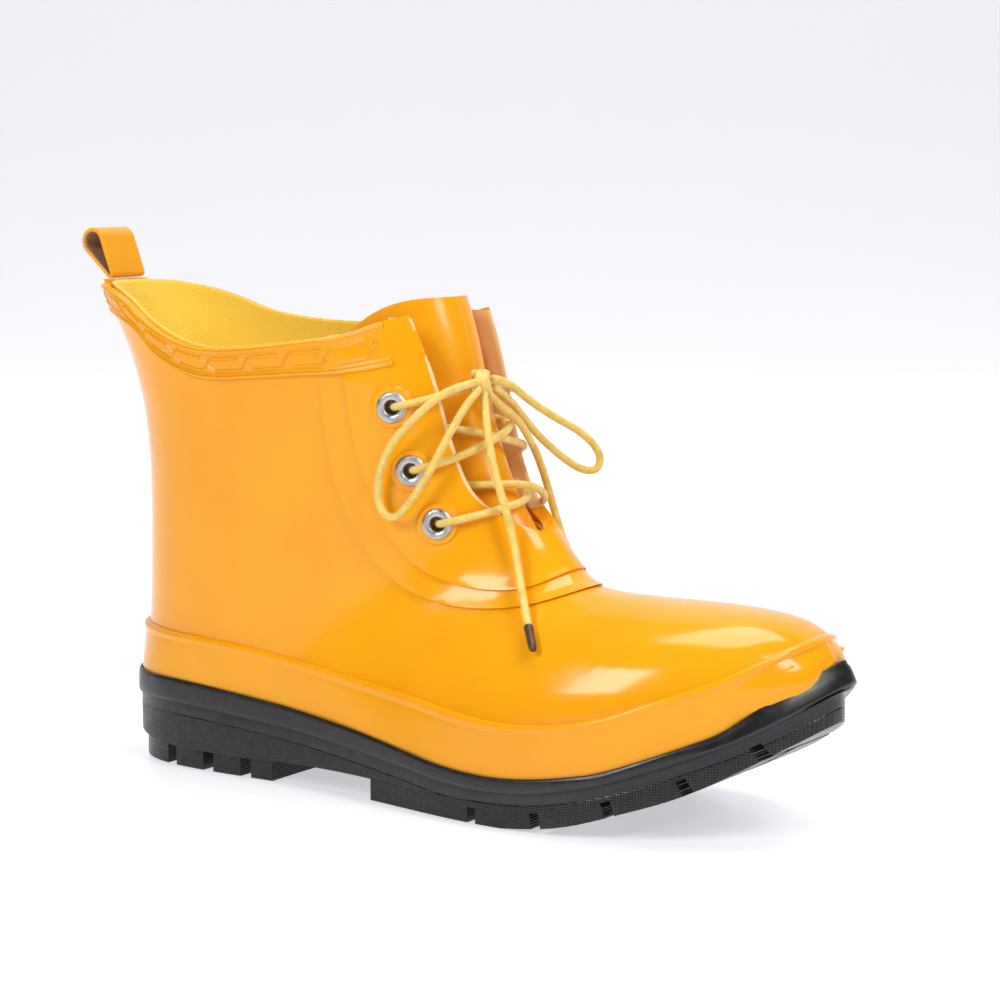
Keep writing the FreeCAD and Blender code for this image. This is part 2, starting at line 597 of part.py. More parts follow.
def teardrop(small, large):
    """Two arcs about the root and the fold, joined by their outer tangents, in the XZ plane."""
    root = Vector(dim("swing_x"), dim("swing_z"), 0)
    fold = Vector(LOOP_TOP.x, LOOP_TOP.z, 0)
    run = fold - root
    heading = math.atan2(run.y, run.x)
    spread = math.acos((small - large) / run.Length)
    edges = []
    touches = []
    for sign in (1, -1):
        outward = Vector(math.cos(heading + sign * spread), math.sin(heading + sign * spread), 0)
        touches.append((root + outward * small, fold + outward * large))
    for near, far in touches:
        edges.append(Part.LineSegment(near, far))
    ahead = Vector(math.cos(heading), math.sin(heading), 0)
    edges.append(Part.Arc(touches[0][1], fold + ahead * large, touches[1][1]))
    edges.append(Part.Arc(touches[0][0], root - ahead * small, touches[1][0]))
    return edges


root_radius = dim("root_radius")
strap = dim("strap_skin")
for edge in teardrop(root_radius, LOOP_RADIUS) + teardrop(root_radius - strap, LOOP_RADIUS - strap):
    loop_sketch.addGeometry(edge, False)
loop_pad = loop_body.newObject("PartDesign::Pad", "pull_loop_width")
loop_pad.Profile = loop_sketch
loop_pad.Midplane = True
loop_pad.setExpression("Length", "dimensions.strap_width")
loop_body.Placement = FRAME
pieces.append(loop_body)


# ---------------------------------------------------------------- laces
def cord_path(name, route):
    """Straight runs joined by the largest tangent arcs that the runs leave room for."""
    points = [Vector(*point) for point in route]
    edges = []
    start = points[0]
    radii = []
    for before, corner, after in zip(points[:-2], points[1:-1], points[2:]):
        back = (before - corner).normalize()
        on = (after - corner).normalize()
        half_turn = (math.pi - back.getAngle(on)) / 2
        trim = 0.45 * min((before - corner).Length, (after - corner).Length)
        radius = trim / math.tan(half_turn)
        radii.append(radius)
        first = corner + back * trim
        last = corner + on * trim
        bisector = (back + on).normalize()
        middle = corner + bisector * (radius / math.cos(half_turn) - radius)
        edges.append(Part.LineSegment(start, first).toShape())
        edges.append(Part.Arc(first, middle, last).toShape())
        start = last
    edges.append(Part.LineSegment(start, points[-1]).toShape())
    print(name, "radii", " ".join("%.1f" % radius for radius in radii))
    return Part.Wire(edges)


def add_cord(name, route, diameter):
    path = cord_path(name, route)
    start = Vector(*route[0])
    heading = (Vector(*route[1]) - start).normalize()
    ring = Part.Wire([Part.makeCircle(diameter / 2, start, heading)])
    tube = path.makePipeShell([ring], True, False)
    print(name, "length %.1f" % path.Length, "volume %.1f of %.1f" % (
        tube.Volume, math.pi * diameter ** 2 / 4 * path.Length))
    add_piece(name, tube)
    return path.Length


lace = dim("lace_diameter")
KNOT = Vector(148.6, -8.0, 140.0)
knot = Part.makeSphere(dim("knot_length") / 2)
flatten = FreeCAD.Matrix()
flatten.scale(Vector(0.72, 1.0, 0.72))
knot = knot.transformGeometry(flatten)
knot.translate(KNOT)
add_piece("lace_knot", knot)

# The laced part: knot, down the lateral side's holes by crossing over to the medial side, along the
# bar under the lowest holes and back up to the knot.
LACED = [
    (147.0, -13.0, 139.0), (143.4, -22.5, 136.5), (128.1, -31.9, 132.3), (123.7, -20.5, 132.4),
    (127.6, -20.6, 126.4), (146.4, -11.0, 124.0), (154.2, 0.0, 120.6), (149.6, 20.3, 116.4),
    (134.0, 29.7, 111.3), (129.7, 18.3, 111.1), (135.4, 19.2, 104.6), (153.4, 11.0, 104.5),
    (163.0, 0.0, 100.8), (159.4, -17.0, 98.3), (142.8, -27.0, 93.7), (138.5, -15.6, 93.4),
    (150.5, -10.3, 92.8), (163.8, 0.3, 94.0), (150.5, 10.3, 92.8), (138.5, 15.6, 93.4),
    (142.8, 27.0, 93.7), (159.4, 17.0, 98.3), (164.4, 2.0, 105.8), (153.0, -11.0, 106.5),
    (135.4, -19.2, 104.6), (129.7, -18.3, 111.1), (134.0, -29.7, 111.3), (149.6, -20.3, 116.4),
    (156.6, -2.0, 124.2), (146.4, 11.0, 125.6), (127.6, 20.6, 126.4), (123.7, 20.5, 132.4),
    (128.1, 31.9, 132.3), (143.4, 22.5, 136.5), (146.6, 6.0, 138.8), (147.2, -3.4, 139.0),
]
add_cord("lace_laced", LACED, lace)

# The bow's two loops and the two free ends, as they hang from the knot.
LOOP_LATERAL = [
    (148.9, -10.5, 140.4), (149.6, -16.7, 140.4), (144.8, -26.1, 137.6), (136.2, -31.6, 128.5),
    (128.9, -33.7, 119.8), (124.8, -34.1, 110.4), (124.2, -33.9, 101.9), (126.2, -33.2, 96.6),
    (130.2, -32.3, 95.6), (133.9, -31.8, 99.0), (138.6, -30.7, 105.4), (143.8, -28.4, 115.3),
    (147.8, -24.9, 125.5), (150.4, -18.4, 134.8), (150.3, -11.4, 138.6),
]
LOOP_MEDIAL = [
    (150.2, -4.6, 141.4), (152.2, 1.6, 140.2), (154.0, 9.0, 135.0), (156.2, 17.0, 129.8),
    (159.6, 24.0, 125.4), (163.0, 30.5, 121.6), (166.4, 35.6, 116.6), (167.8, 38.2, 111.4),
    (166.6, 37.2, 107.0), (162.6, 32.8, 107.6), (158.6, 26.6, 112.6), (154.8, 18.8, 119.6),
    (152.6, 11.4, 127.4), (151.6, 3.6, 134.4), (150.4, -3.4, 138.6),
]
END_LATERAL = [
    (150.6, -9.6, 137.8), (152.6, -11.8, 133.2), (155.1, -14.6, 126.4), (158.0, -16.6, 117.0),
    (161.2, -17.2, 107.6), (164.4, -16.9, 98.4), (167.6, -17.4, 88.4), (171.8, -20.6, 78.2),
    (178.0, -27.2, 69.2), (183.4, -33.2, 64.0),
]
END_MEDIAL = [
    (150.8, -6.6, 136.2), (152.4, -2.2, 131.8), (154.6, 4.6, 127.4), (154.6, 12.2, 120.4),
    (154.6, 18.8, 112.2), (155.6, 22.8, 102.4), (158.6, 23.2, 92.6), (163.2, 21.6, 83.0),
    (169.8, 20.8, 74.4), (175.4, 22.6, 69.0),
]
free_length = 0.0
for name, route in (("lace_loop_lateral", LOOP_LATERAL), ("lace_loop_medial", LOOP_MEDIAL),
                    ("lace_end_lateral", END_LATERAL), ("lace_end_medial", END_MEDIAL)):
    free_length += add_cord(name, route, lace)

for side_name, route in (("lateral", END_LATERAL), ("medial", END_MEDIAL)):
    heading = (Vector(*route[-1]) - Vector(*route[-2])).normalize()
    aglet = doc.addObject("Part::Cylinder", "aglet_" + side_name)
    aglet.Label = "aglet_" + side_name
    bind(aglet, {"Radius": SHEET + "aglet_diameter / 2", "Height": SHEET + "aglet_length"})
    aglet.Placement = FRAME.multiply(Placement(Vector(*route[-1]), Rotation(Vector(0, 0, 1), heading)))
    pieces.append(aglet)

# ---------------------------------------------------------------- checks and files
doc.recompute()
problems = []
for item in doc.Objects:
    if "Invalid" in item.State or "Error" in item.State:
        problems.append("%s is %s" % (item.Name, item.State))
for piece in pieces:
    if piece.Shape.isNull() or not piece.Shape.isValid():
        problems.append("%s has no valid shape" % piece.Label)
if problems:
    raise RuntimeError("; ".join(problems))

os.makedirs("parts", exist_ok=True)
for piece in pieces:
    piece.Shape.exportStep("parts/%s.step" % piece.Label)
free_names = ("lace_loop", "lace_end", "aglet")
held = [piece.Shape for piece in pieces if not piece.Label.startswith(free_names)]
print("pieces", len(pieces), "free lace length %.0f" % free_length)
print("box", Part.Compound(held).optimalBoundingBox(True, False))
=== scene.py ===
"""Looks for the rubber rain boot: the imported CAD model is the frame, and finer pieces replace its nodes."""
import math
import bpy
import numpy as np
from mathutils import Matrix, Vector
from mathutils.bvhtree import BVHTree


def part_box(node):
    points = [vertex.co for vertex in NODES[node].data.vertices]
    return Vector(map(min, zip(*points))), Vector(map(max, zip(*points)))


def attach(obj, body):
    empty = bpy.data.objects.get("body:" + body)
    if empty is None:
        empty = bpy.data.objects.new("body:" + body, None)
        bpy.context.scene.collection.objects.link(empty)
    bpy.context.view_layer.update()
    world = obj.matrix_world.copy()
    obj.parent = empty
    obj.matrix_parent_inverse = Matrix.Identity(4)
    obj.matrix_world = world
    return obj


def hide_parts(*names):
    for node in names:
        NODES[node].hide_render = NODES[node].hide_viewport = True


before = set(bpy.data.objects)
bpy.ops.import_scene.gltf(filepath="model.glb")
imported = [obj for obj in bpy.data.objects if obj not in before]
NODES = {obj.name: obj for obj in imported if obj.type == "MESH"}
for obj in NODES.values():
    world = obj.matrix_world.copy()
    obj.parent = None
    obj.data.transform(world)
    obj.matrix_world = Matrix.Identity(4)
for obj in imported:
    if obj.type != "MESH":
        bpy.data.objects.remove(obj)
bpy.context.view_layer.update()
SHIFT = np.array((-127.2, 1.77, 0.0))
SCENE = bpy.context.scene
# Side-view line (x, z) in millimetres between the outsole's lugs and the rim above them.
PARTING = [(-40, 23), (0, 23.3), (39, 23.6), (77, 21.1), (114, 17.4), (140, 14.8), (158, 12.8), (175, 12.2),
           (191, 13.2), (205, 15.6), (219, 19.2), (243, 28), (262, 36.5), (280, 48.7), (310, 70)]


def row(points):
    """Design-frame millimetres to row-frame metres."""
    return (np.asarray(points, float) + SHIFT) * 0.001


# ---------------------------------------------------------------- camera, lights and floor
def aim(obj, target):
    """Turn a camera or light so that it looks at a point."""
    obj.rotation_euler = (Vector(target) - obj.location).to_track_quat("-Z", "Y").to_euler()


CAMERA_PLACE = (0.53226, -0.78148, 0.21986)
YAW = math.radians(33.0)
PITCH = math.radians(7.326)
camera = bpy.data.objects.new("camera", bpy.data.cameras.new("camera"))
camera.data.lens = 100.3
camera.data.sensor_width = 36.0
camera.data.clip_start = 0.05
camera.location = CAMERA_PLACE
look = Vector((-math.sin(YAW) * math.cos(PITCH), math.cos(YAW) * math.cos(PITCH), -math.sin(PITCH)))
aim(camera, Vector(CAMERA_PLACE) + look)
SCENE.collection.objects.link(camera)
SCENE.camera = camera
SCENE.view_settings.view_transform = "Standard"


def softbox(name, place, target, width, height, power):
    light = bpy.data.lights.new(name, "AREA")
    light.shape = "RECTANGLE"
    light.size = width
    light.size_y = height
    light.energy = power
    obj = bpy.data.objects.new(name, light)
    obj.location = place
    aim(obj, target)
    SCENE.collection.objects.link(obj)


softbox("top_box", (0.05, 0.25, 1.25), (0, 0, 0.05), 0.6, 0.8, 8.0)
softbox("side_box", (-0.30, -1.20, 0.95), (0, 0, 0.08), 0.45, 0.7, 11.0)
softbox("front_box", (1.10, -0.20, 1.05), (0, 0, 0.06), 0.45, 0.8, 11.0)
world = bpy.data.worlds.new("studio")
world.use_nodes = True
world.node_tree.nodes["Background"].inputs["Color"].default_value = (0.95, 0.95, 0.98, 1)
world.node_tree.nodes["Background"].inputs["Strength"].default_value = 0.13
SCENE.world = world


def mesh_object(name, verts, faces):
    mesh = bpy.data.meshes.new(name)
    mesh.from_pydata([tuple(v) for v in verts], [], [tuple(f) for f in faces])
    mesh.update()
    mesh.polygons.foreach_set("use_smooth", [True] * len(mesh.polygons))
    obj = bpy.data.objects.new(name, mesh)
    SCENE.collection.objects.link(obj)
    return obj


def grid_faces(rows, columns, closed=False):
    """Quads of a rows by columns grid; closed joins the last column to the first."""
    last = columns if closed else columns - 1
    return [(r * columns + c, r * columns + (c + 1) % columns, (r + 1) * columns + (c + 1) % columns,
             (r + 1) * columns + c) for r in range(rows - 1) for c in range(last)]


# A pale sweep: flat floor, a quarter turn, then a wall well behind the boot.
sweep = [(-3.0, 0.0), (1.2, 0.0)]
sweep += [(1.2 + 0.8 * math.sin(a), 0.8 - 0.8 * math.cos(a)) for a in np.linspace(0.1, math.pi / 2, 12)]
sweep += [(2.0, 3.2)]
heading = np.array((-math.sin(YAW), math.cos(YAW)))
across = np.array((math.cos(YAW), math.sin(YAW)))
floor_points = []
for reach, height in sweep:
    for side in (-3.5, 3.5):
        spot = heading * reach + across * side
        floor_points.append((spot[0], spot[1], height - 0.0002))
floor = mesh_object("floor", floor_points, grid_faces(len(sweep), 2))


# ---------------------------------------------------------------- materials
class Look:
    """A procedural material: a Principled shader and the nodes that vary it."""

    def __init__(self, name, colour, roughness, **sockets):
        self.material = bpy.data.materials.new(name)
        self.material.use_nodes = True
        self.tree = self.material.node_tree
        self.shader = self.tree.nodes["Principled BSDF"]
        self.shader.inputs["Base Color"].default_value = (*colour, 1)
        self.shader.inputs["Roughness"].default_value = roughness
        for socket, value in sockets.items():
            self.shader.inputs[socket.replace("_", " ")].default_value = value
        self.where = self.tree.nodes.new("ShaderNodeTexCoord").outputs["Object"]
        self.normal = None

    def put(self, socket, value):
        if isinstance(value, bpy.types.NodeSocket):
            self.tree.links.new(value, socket)
        else:
            socket.default_value = value

    def node(self, kind, inputs, **settings):
        made = self.tree.nodes.new("ShaderNode" + kind)
        for key, value in settings.items():
            setattr(made, key, value)
        for key, value in inputs.items():
            self.put(made.inputs[key], value)
        return made

    def math(self, operation, a, b=0.0):
        return self.node("Math", {0: a, 1: b}, operation=operation).outputs[0]

    def noise(self, scale, detail=3.0):
        return self.node("TexNoise", {"Scale": scale, "Detail": detail, "Vector": self.where}).outputs[0]

    def between(self, value, low, high, to_low=0.0, to_high=1.0):
        """A value carried from one range to another, and held at its ends."""
        made = self.node("MapRange", {"Value": value, "From Min": low, "From Max": high,
                                      "To Min": to_low, "To Max": to_high})
        return made.outputs[0]

    def blend(self, share, a, b):
        made = self.node("Mix", {"Factor": share}, data_type="RGBA")
        self.put(made.inputs[6], a if not isinstance(a, tuple) else (*a, 1))
        self.put(made.inputs[7], b if not isinstance(b, tuple) else (*b, 1))
        return made.outputs[2]

    def colour(self, value):
        self.put(self.shader.inputs["Base Color"], value)
        return self

    def rough(self, value):
        self.put(self.shader.inputs["Roughness"], value)
        return self

    def bump(self, height, distance, strength=1.0):
        """Surface relief, in metres, over any relief already there."""
        inputs = {"Height": height, "Distance": distance, "Strength": strength}
        if self.normal is not None:
            inputs["Normal"] = self.normal
        self.normal = self.node("Bump", inputs).outputs[0]
        self.put(self.shader.inputs["Normal"], self.normal)
        return self


YELLOW = (0.93, 0.395, 0.004)
YELLOW_DEEP = (0.90, 0.360, 0.003)
YELLOW_PALE = (0.93, 0.52, 0.08)


def rubber(name, base, deep, pale, roughness):
    """Glossy moulded rubber: slow colour drift, slight waviness, fine dust and scuffs."""
    made = Look(name, base, roughness, Coat_Weight=0.30, Coat_Roughness=0.06, Coat_IOR=1.35, IOR=1.38)
    drift = made.between(made.noise(22.0, 4.0), 0.35, 0.65)
    tone = made.blend(drift, base, deep)
    specks = made.between(made.noise(900.0, 2.0), 0.74, 0.80)
    made.colour(made.blend(made.math("MULTIPLY", specks, 0.12), tone, pale))
    scuffs = made.between(made.noise(90.0, 6.0), 0.45, 0.75, roughness, roughness + 0.06)
    made.rough(scuffs)
    made.bump(made.noise(30.0, 1.5), 0.0008, 0.30)
    made.bump(made.noise(420.0, 3.0), 0.00005, 0.5)
    return made.material


yellow_rubber = rubber("yellow_rubber", YELLOW, YELLOW_DEEP, YELLOW_PALE, 0.16)
cut_rubber = rubber("cut_rubber", (0.98, 0.76, 0.48), (0.92, 0.58, 0.25), (0.98, 0.88, 0.70), 0.6)
strap_rubber = rubber("strap_rubber", YELLOW, YELLOW_DEEP, YELLOW_PALE, 0.30)
tongue_rubber = rubber("tongue_rubber", YELLOW, YELLOW_DEEP, YELLOW_PALE, 0.26)


def plain_look(name, base, deep, roughness, grain, relief):
    """An even surface with a grain of its own, in two tones."""
    made = Look(name, base, roughness)
    made.colour(made.blend(made.between(made.noise(grain, 6.0), 0.35, 0.7), base, deep))
    worn = made.noise(grain * 2.5, 4.0)
    made.rough(made.between(worn, 0.3, 0.7, roughness * 0.85, min(1.0, roughness * 1.15)))
    made.bump(made.noise(grain * 6, 3.0), relief, 0.7)
    return made.material


CURVE_X, CURVE_Z = 280.0, 60.0
MESH_WAVES = 3600.0


def black_rubber_look(name, textured):
    """Semi-gloss black rubber with fine dust; the textured one has a raised mesh below the parting line."""
    made = Look(name, (0.017, 0.017, 0.019), 0.42, IOR=1.5)
    dust = made.between(made.noise(420.0, 8.0), 0.50, 0.80)
    made.colour(made.blend(dust, (0.010, 0.010, 0.011), (0.020, 0.020, 0.022)))
    made.rough(made.between(made.noise(190.0, 6.0), 0.3, 0.7, 0.24, 0.38))
    if textured:
        parts = made.node("SeparateXYZ", {0: made.where}).outputs
        line = made.tree.nodes.new("ShaderNodeFloatCurve")
        points = line.mapping.curves[0].points
        stations = [(x / CURVE_X, z / CURVE_Z) for x, z in PARTING if 0 <= x <= CURVE_X]
        for station in stations[1:-1]:
            points.new(*station)
        points[0].location = stations[0]
        points[-1].location = stations[-1]
        line.mapping.update()
        start, end = ((x + SHIFT[0]) * 0.001 for x in (0.0, CURVE_X))
        made.put(line.inputs["Value"], made.between(parts["X"], start, end))
        depth = made.math("SUBTRACT", made.math("MULTIPLY", line.outputs[0], CURVE_Z * 0.001), parts["Z"])
        low = made.between(depth, 0.0044, 0.0049)
        geometry = made.tree.nodes.new("ShaderNodeNewGeometry")
        facing = made.node("SeparateXYZ", {0: geometry.outputs["True Normal"]})
        upright = made.between(made.math("ABSOLUTE", facing.outputs["Z"]), 0.75, 0.5)
        mask = made.math("MULTIPLY", low, upright)
        waves = []
        for slope in (1.0, -1.0):
            slant = made.math("ADD", parts["X"], made.math("MULTIPLY", parts["Z"], slope))
            waves.append(made.math("SINE", made.math("MULTIPLY", slant, MESH_WAVES)))
        mesh = made.math("MAXIMUM", made.math("MULTIPLY", waves[0], waves[1]), 0.0)
        made.bump(made.math("MULTIPLY", mesh, mask), 0.00045, 1.0)
        made.bump(mask, 0.00030, 0.8)
    made.bump(made.noise(1500.0, 2.0), 0.00004, 0.7)
    return made.material


black_rubber = black_rubber_look("black_rubber", False)
lug_rubber = black_rubber_look("lug_rubber", True)


def cloth_look(name, light, dark, pitch, by_uv=True):
    """Twill: fine slanted ribs crossed by a finer yarn, with uneven dye."""
    made = Look(name, light, 0.85, Sheen_Weight=0.25, Sheen_Roughness=0.5)
    flat = made.tree.nodes.new("ShaderNodeTexCoord").outputs["UV" if by_uv else "Object"]
    slant = made.node("Mapping", {"Vector": flat, "Rotation": (0.0, 0.0, math.radians(52))}).outputs[0]
    rib = made.node("TexWave", {"Vector": slant, "Scale": 1.0 / pitch / 3.1, "Distortion": 0.5,
                                "Detail": 2.0, "Detail Scale": 3.0}, bands_direction="X").outputs["Fac"]
    yarn = made.node("TexWave", {"Vector": slant, "Scale": 1.0 / pitch / 2.0, "Distortion": 0.4},
                     bands_direction="Y").outputs["Fac"]
    weave = made.math("MULTIPLY", rib, made.math("ADD", made.math("MULTIPLY", yarn, 0.5), 0.5))
    patch = made.between(made.noise(70.0, 5.0), 0.35, 0.7)
    tone = made.blend(weave, dark, light)
    made.colour(made.blend(made.math("MULTIPLY", patch, 0.3), tone, dark))
    made.bump(weave, 0.00025, 0.8)
    made.bump(made.noise(2500.0, 2.0), 0.00008, 0.5)
    return made.material


lining_cloth = cloth_look("lining_cloth", (1.0, 0.74, 0.09), (0.93, 0.56, 0.03), 0.0011)
footbed_cloth = cloth_look("footbed_cloth", (0.85, 0.55, 0.08), (0.60, 0.36, 0.03), 0.0013, by_uv=False)
backing_cloth = cloth_look("backing_cloth", (0.98, 0.76, 0.58), (0.86, 0.58, 0.38), 0.0007)


def metal_look(name, colour, roughness):
    """Plain metal, worn darker in patches."""
    made = Look(name, colour, roughness, Metallic=1.0)
    ring = made.noise(2600.0, 3.0)
    made.rough(made.between(made.noise(500.0, 6.0), 0.3, 0.7, roughness * 0.7, roughness * 1.6))
    worn = made.between(made.noise(300.0, 4.0), 0.4, 0.7)
    made.colour(made.blend(worn, colour, tuple(c * 0.72 for c in colour)))
    made.bump(ring, 0.00003, 0.6)
    return made.material


eyelet_metal = metal_look("eyelet_metal", (0.60, 0.60, 0.61), 0.34)
shank_steel = metal_look("shank_steel", (0.42, 0.43, 0.45), 0.40)


def cord_look():
    """Waxed yellow cord with loose pale fibres."""
    made = Look("lace_cord", (0.86, 0.58, 0.13), 0.5, Sheen_Weight=0.3)
    fibre = made.noise(1800.0, 4.0)
    patch = made.between(made.noise(260.0, 5.0), 0.35, 0.7)
    tone = made.blend(patch, (0.86, 0.64, 0.15), (0.72, 0.47, 0.07))
    made.colour(made.blend(made.between(fibre, 0.55, 0.75), tone, (0.96, 0.80, 0.36)))
    made.rough(made.between(fibre, 0.3, 0.7, 0.38, 0.62))
    made.bump(fibre, 0.0002, 0.6)
    return made.material


lace_cord = cord_look()
lace_tip = plain_look("lace_tip", (0.10, 0.045, 0.018), (0.04, 0.018, 0.008), 0.38, 400.0, 0.0001)
board_look = plain_look("board", (0.42, 0.30, 0.17), (0.30, 0.20, 0.11), 0.85, 350.0, 0.0002)
stiffener = plain_look("stiffener", (0.55, 0.50, 0.42), (0.42, 0.38, 0.31), 0.8, 300.0, 0.0002)


def floor_look():
    made = Look("floor", (0.60, 0.60, 0.61), 0.45, Emission_Color=(0.95, 0.95, 1.0, 1.0),
                Emission_Strength=0.56)
    made.rough(made.between(made.noise(6.0, 4.0), 0.3, 0.7, 0.28, 0.38))
    return made.material


floor.data.materials.append(floor_look())
LOOKS = {"yellow_rubber": yellow_rubber, "black_rubber": black_rubber, "strap_rubber": strap_rubber,
         "tongue_rubber": tongue_rubber, "lining_cloth": lining_cloth, "board": board_look,
         "footbed_cloth": footbed_cloth, "stiffener": stiffener, "shank_steel": shank_steel,
         "eyelet_metal": eyelet_metal, "lace_cord": lace_cord, "lace_tip": lace_tip}


def finish_piece(obj, slot, body="boot", look=None, stands_for=()):
    """Give a piece its finish, body and the CAD nodes that it replaces."""
    obj.data.materials.clear()
    obj.data.materials.append(look or LOOKS[slot])
    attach(obj, body)
    if stands_for:
        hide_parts(*stands_for)
    return obj


# ---------------------------------------------------------------- laces
LACE = 0.0027
BRAID_PITCH = 0.0052
# The routes of the CAD model's lace pieces, in design-frame millimetres.
LACED = [
    (147.0, -13.0, 139.0), (143.4, -22.5, 136.5), (128.1, -31.9, 132.3), (123.7, -20.5, 132.4),
    (127.6, -20.6, 126.4), (146.4, -11.0, 124.0), (154.2, 0.0, 120.6), (149.6, 20.3, 116.4),
    (134.0, 29.7, 111.3), (129.7, 18.3, 111.1), (135.4, 19.2, 104.6), (153.4, 11.0, 104.5),
    (163.0, 0.0, 100.8), (159.4, -17.0, 98.3), (142.8, -27.0, 93.7), (138.5, -15.6, 93.4),
    (150.5, -10.3, 92.8), (163.8, 0.3, 94.0), (150.5, 10.3, 92.8), (138.5, 15.6, 93.4),
    (142.8, 27.0, 93.7), (159.4, 17.0, 98.3), (164.4, 2.0, 105.8), (153.0, -11.0, 106.5),
    (135.4, -19.2, 104.6), (129.7, -18.3, 111.1), (134.0, -29.7, 111.3), (149.6, -20.3, 116.4),
    (156.6, -2.0, 124.2), (146.4, 11.0, 125.6), (127.6, 20.6, 126.4), (123.7, 20.5, 132.4),
    (128.1, 31.9, 132.3), (143.4, 22.5, 136.5), (146.6, 6.0, 138.8), (147.2, -3.4, 139.0),
]
LOOP_LATERAL = [
    (148.9, -10.5, 140.4), (149.6, -16.7, 140.4), (144.8, -26.1, 137.6), (136.2, -31.6, 128.5),
    (128.9, -33.7, 119.8), (124.8, -34.1, 110.4), (124.2, -33.9, 101.9), (126.2, -33.2, 96.6),
    (130.2, -32.3, 95.6), (133.9, -31.8, 99.0), (138.6, -30.7, 105.4), (143.8, -28.4, 115.3),
    (147.8, -24.9, 125.5), (150.4, -18.4, 134.8), (150.3, -11.4, 138.6),
]
LOOP_MEDIAL = [
    (150.2, -4.6, 141.4), (152.2, 1.6, 140.2), (154.0, 9.0, 135.0), (156.2, 17.0, 129.8),
    (159.6, 24.0, 125.4), (163.0, 30.5, 121.6), (166.4, 35.6, 116.6), (167.8, 38.2, 111.4),
    (166.6, 37.2, 107.0), (162.6, 32.8, 107.6), (158.6, 26.6, 112.6), (154.8, 18.8, 119.6),
    (152.6, 11.4, 127.4), (151.6, 3.6, 134.4), (150.4, -3.4, 138.6),
]
END_LATERAL = [
    (150.6, -9.6, 137.8), (152.6, -11.8, 133.2), (155.1, -14.6, 126.4), (158.0, -16.6, 117.0),
    (161.2, -17.2, 107.6), (164.4, -16.9, 98.4), (167.6, -17.4, 88.4), (171.8, -20.6, 78.2),
    (178.0, -27.2, 69.2), (183.4, -33.2, 64.0),
]
END_MEDIAL = [
    (150.8, -6.6, 136.2), (152.4, -2.2, 131.8), (154.6, 4.6, 127.4), (154.6, 12.2, 120.4),
    (154.6, 18.8, 112.2), (155.6, 22.8, 102.4), (158.6, 23.2, 92.6), (163.2, 21.6, 83.0),
    (169.8, 20.8, 74.4), (175.4, 22.6, 69.0),
]


def nurbs_line(name, route):
    """Points of the smooth NURBS line along a route, in metres."""
    curve = bpy.data.curves.new(name + "_line", "CURVE")
    curve.dimensions = "3D"
    curve.resolution_u = 16
    spline = curve.splines.new("NURBS")
    spline.points.add(len(route) - 1)
    for point, place in zip(spline.points, row(route)):
        point.co = (*place, 1)
    spline.order_u = 3
    spline.use_endpoint_u = True
    holder = bpy.data.objects.new(name + "_line", curve)
    SCENE.collection.objects.link(holder)
    mesh = bpy.data.meshes.new_from_object(holder)
    points = np.array([v.co for v in mesh.vertices])
    bpy.data.meshes.remove(mesh)
    bpy.data.objects.remove(holder)
    bpy.data.curves.remove(curve)
    return points


def resampled(points, spacing):
    """A line's points at even spacing, and its length."""
    steps = np.linalg.norm(np.diff(points, axis=0), axis=1)
    travel = np.concatenate(([0], np.cumsum(steps)))
    count = max(2, int(round(travel[-1] / spacing)) + 1)
    at = np.linspace(0, travel[-1], count)
    return np.stack([np.interp(at, travel, points[:, k]) for k in range(3)], axis=1), travel[-1]


def braided_tube(name, line, radius, sides=20, spacing=0.00045):
    """A round waxed cord with a faint braid along a line; returns the object and its length."""
    line, length = resampled(line, spacing)
    tangent = np.gradient(line, axis=0)
    tangent /= np.linalg.norm(tangent, axis=1)[:, None]
    side = np.zeros_like(tangent)
    start = np.cross(tangent[0], (0, 0, 1.0))
    side[0] = start / np.linalg.norm(start)
    for index in range(1, len(line)):
        carried = side[index - 1] - tangent[index] * np.dot(side[index - 1], tangent[index])
        side[index] = carried / np.linalg.norm(carried)
    lift = np.cross(tangent, side)
    verts = []
    for index, centre in enumerate(line):
        travel = index * length / (len(line) - 1)
        turn = 2 * math.pi * travel / BRAID_PITCH
        close = min(index, len(line) - 1 - index)
        shrink = (0.35, 0.8, 1.0)[min(close, 2)]
        for k in range(sides):
            angle = 2 * math.pi * k / sides
            braid = max(math.cos(4 * (angle + turn)), math.cos(4 * (angle - turn)))
            reach = radius * shrink * (0.97 + 0.045 * braid)
            verts.append(centre + reach * (math.cos(angle) * side[index]
                                           + math.sin(angle) * lift[index]))
    faces = grid_faces(len(line), sides, closed=True)
    faces += [tuple(range(sides - 1, -1, -1)), tuple(range(len(verts) - sides, len(verts)))]
    return mesh_object(name, verts, faces), length


def free_lace(name, route):
    """A lace piece that hangs from the knot."""
    line = nurbs_line(name, route)
    obj, length = braided_tube(name + "_cord", line, LACE / 2)
    finish_piece(obj, "lace_cord", stands_for=(name,))
    return obj


AGLET_PROFILE = [(-0.0006, 0.00125), (-0.0004, 0.00158), (0.0, 0.0016), (0.0022, 0.00155),
                 (0.0026, 0.00138), (0.0031, 0.00138), (0.0035, 0.00152), (0.0072, 0.00146),
                 (0.0095, 0.00134), (0.0104, 0.00112), (0.0109, 0.0006)]


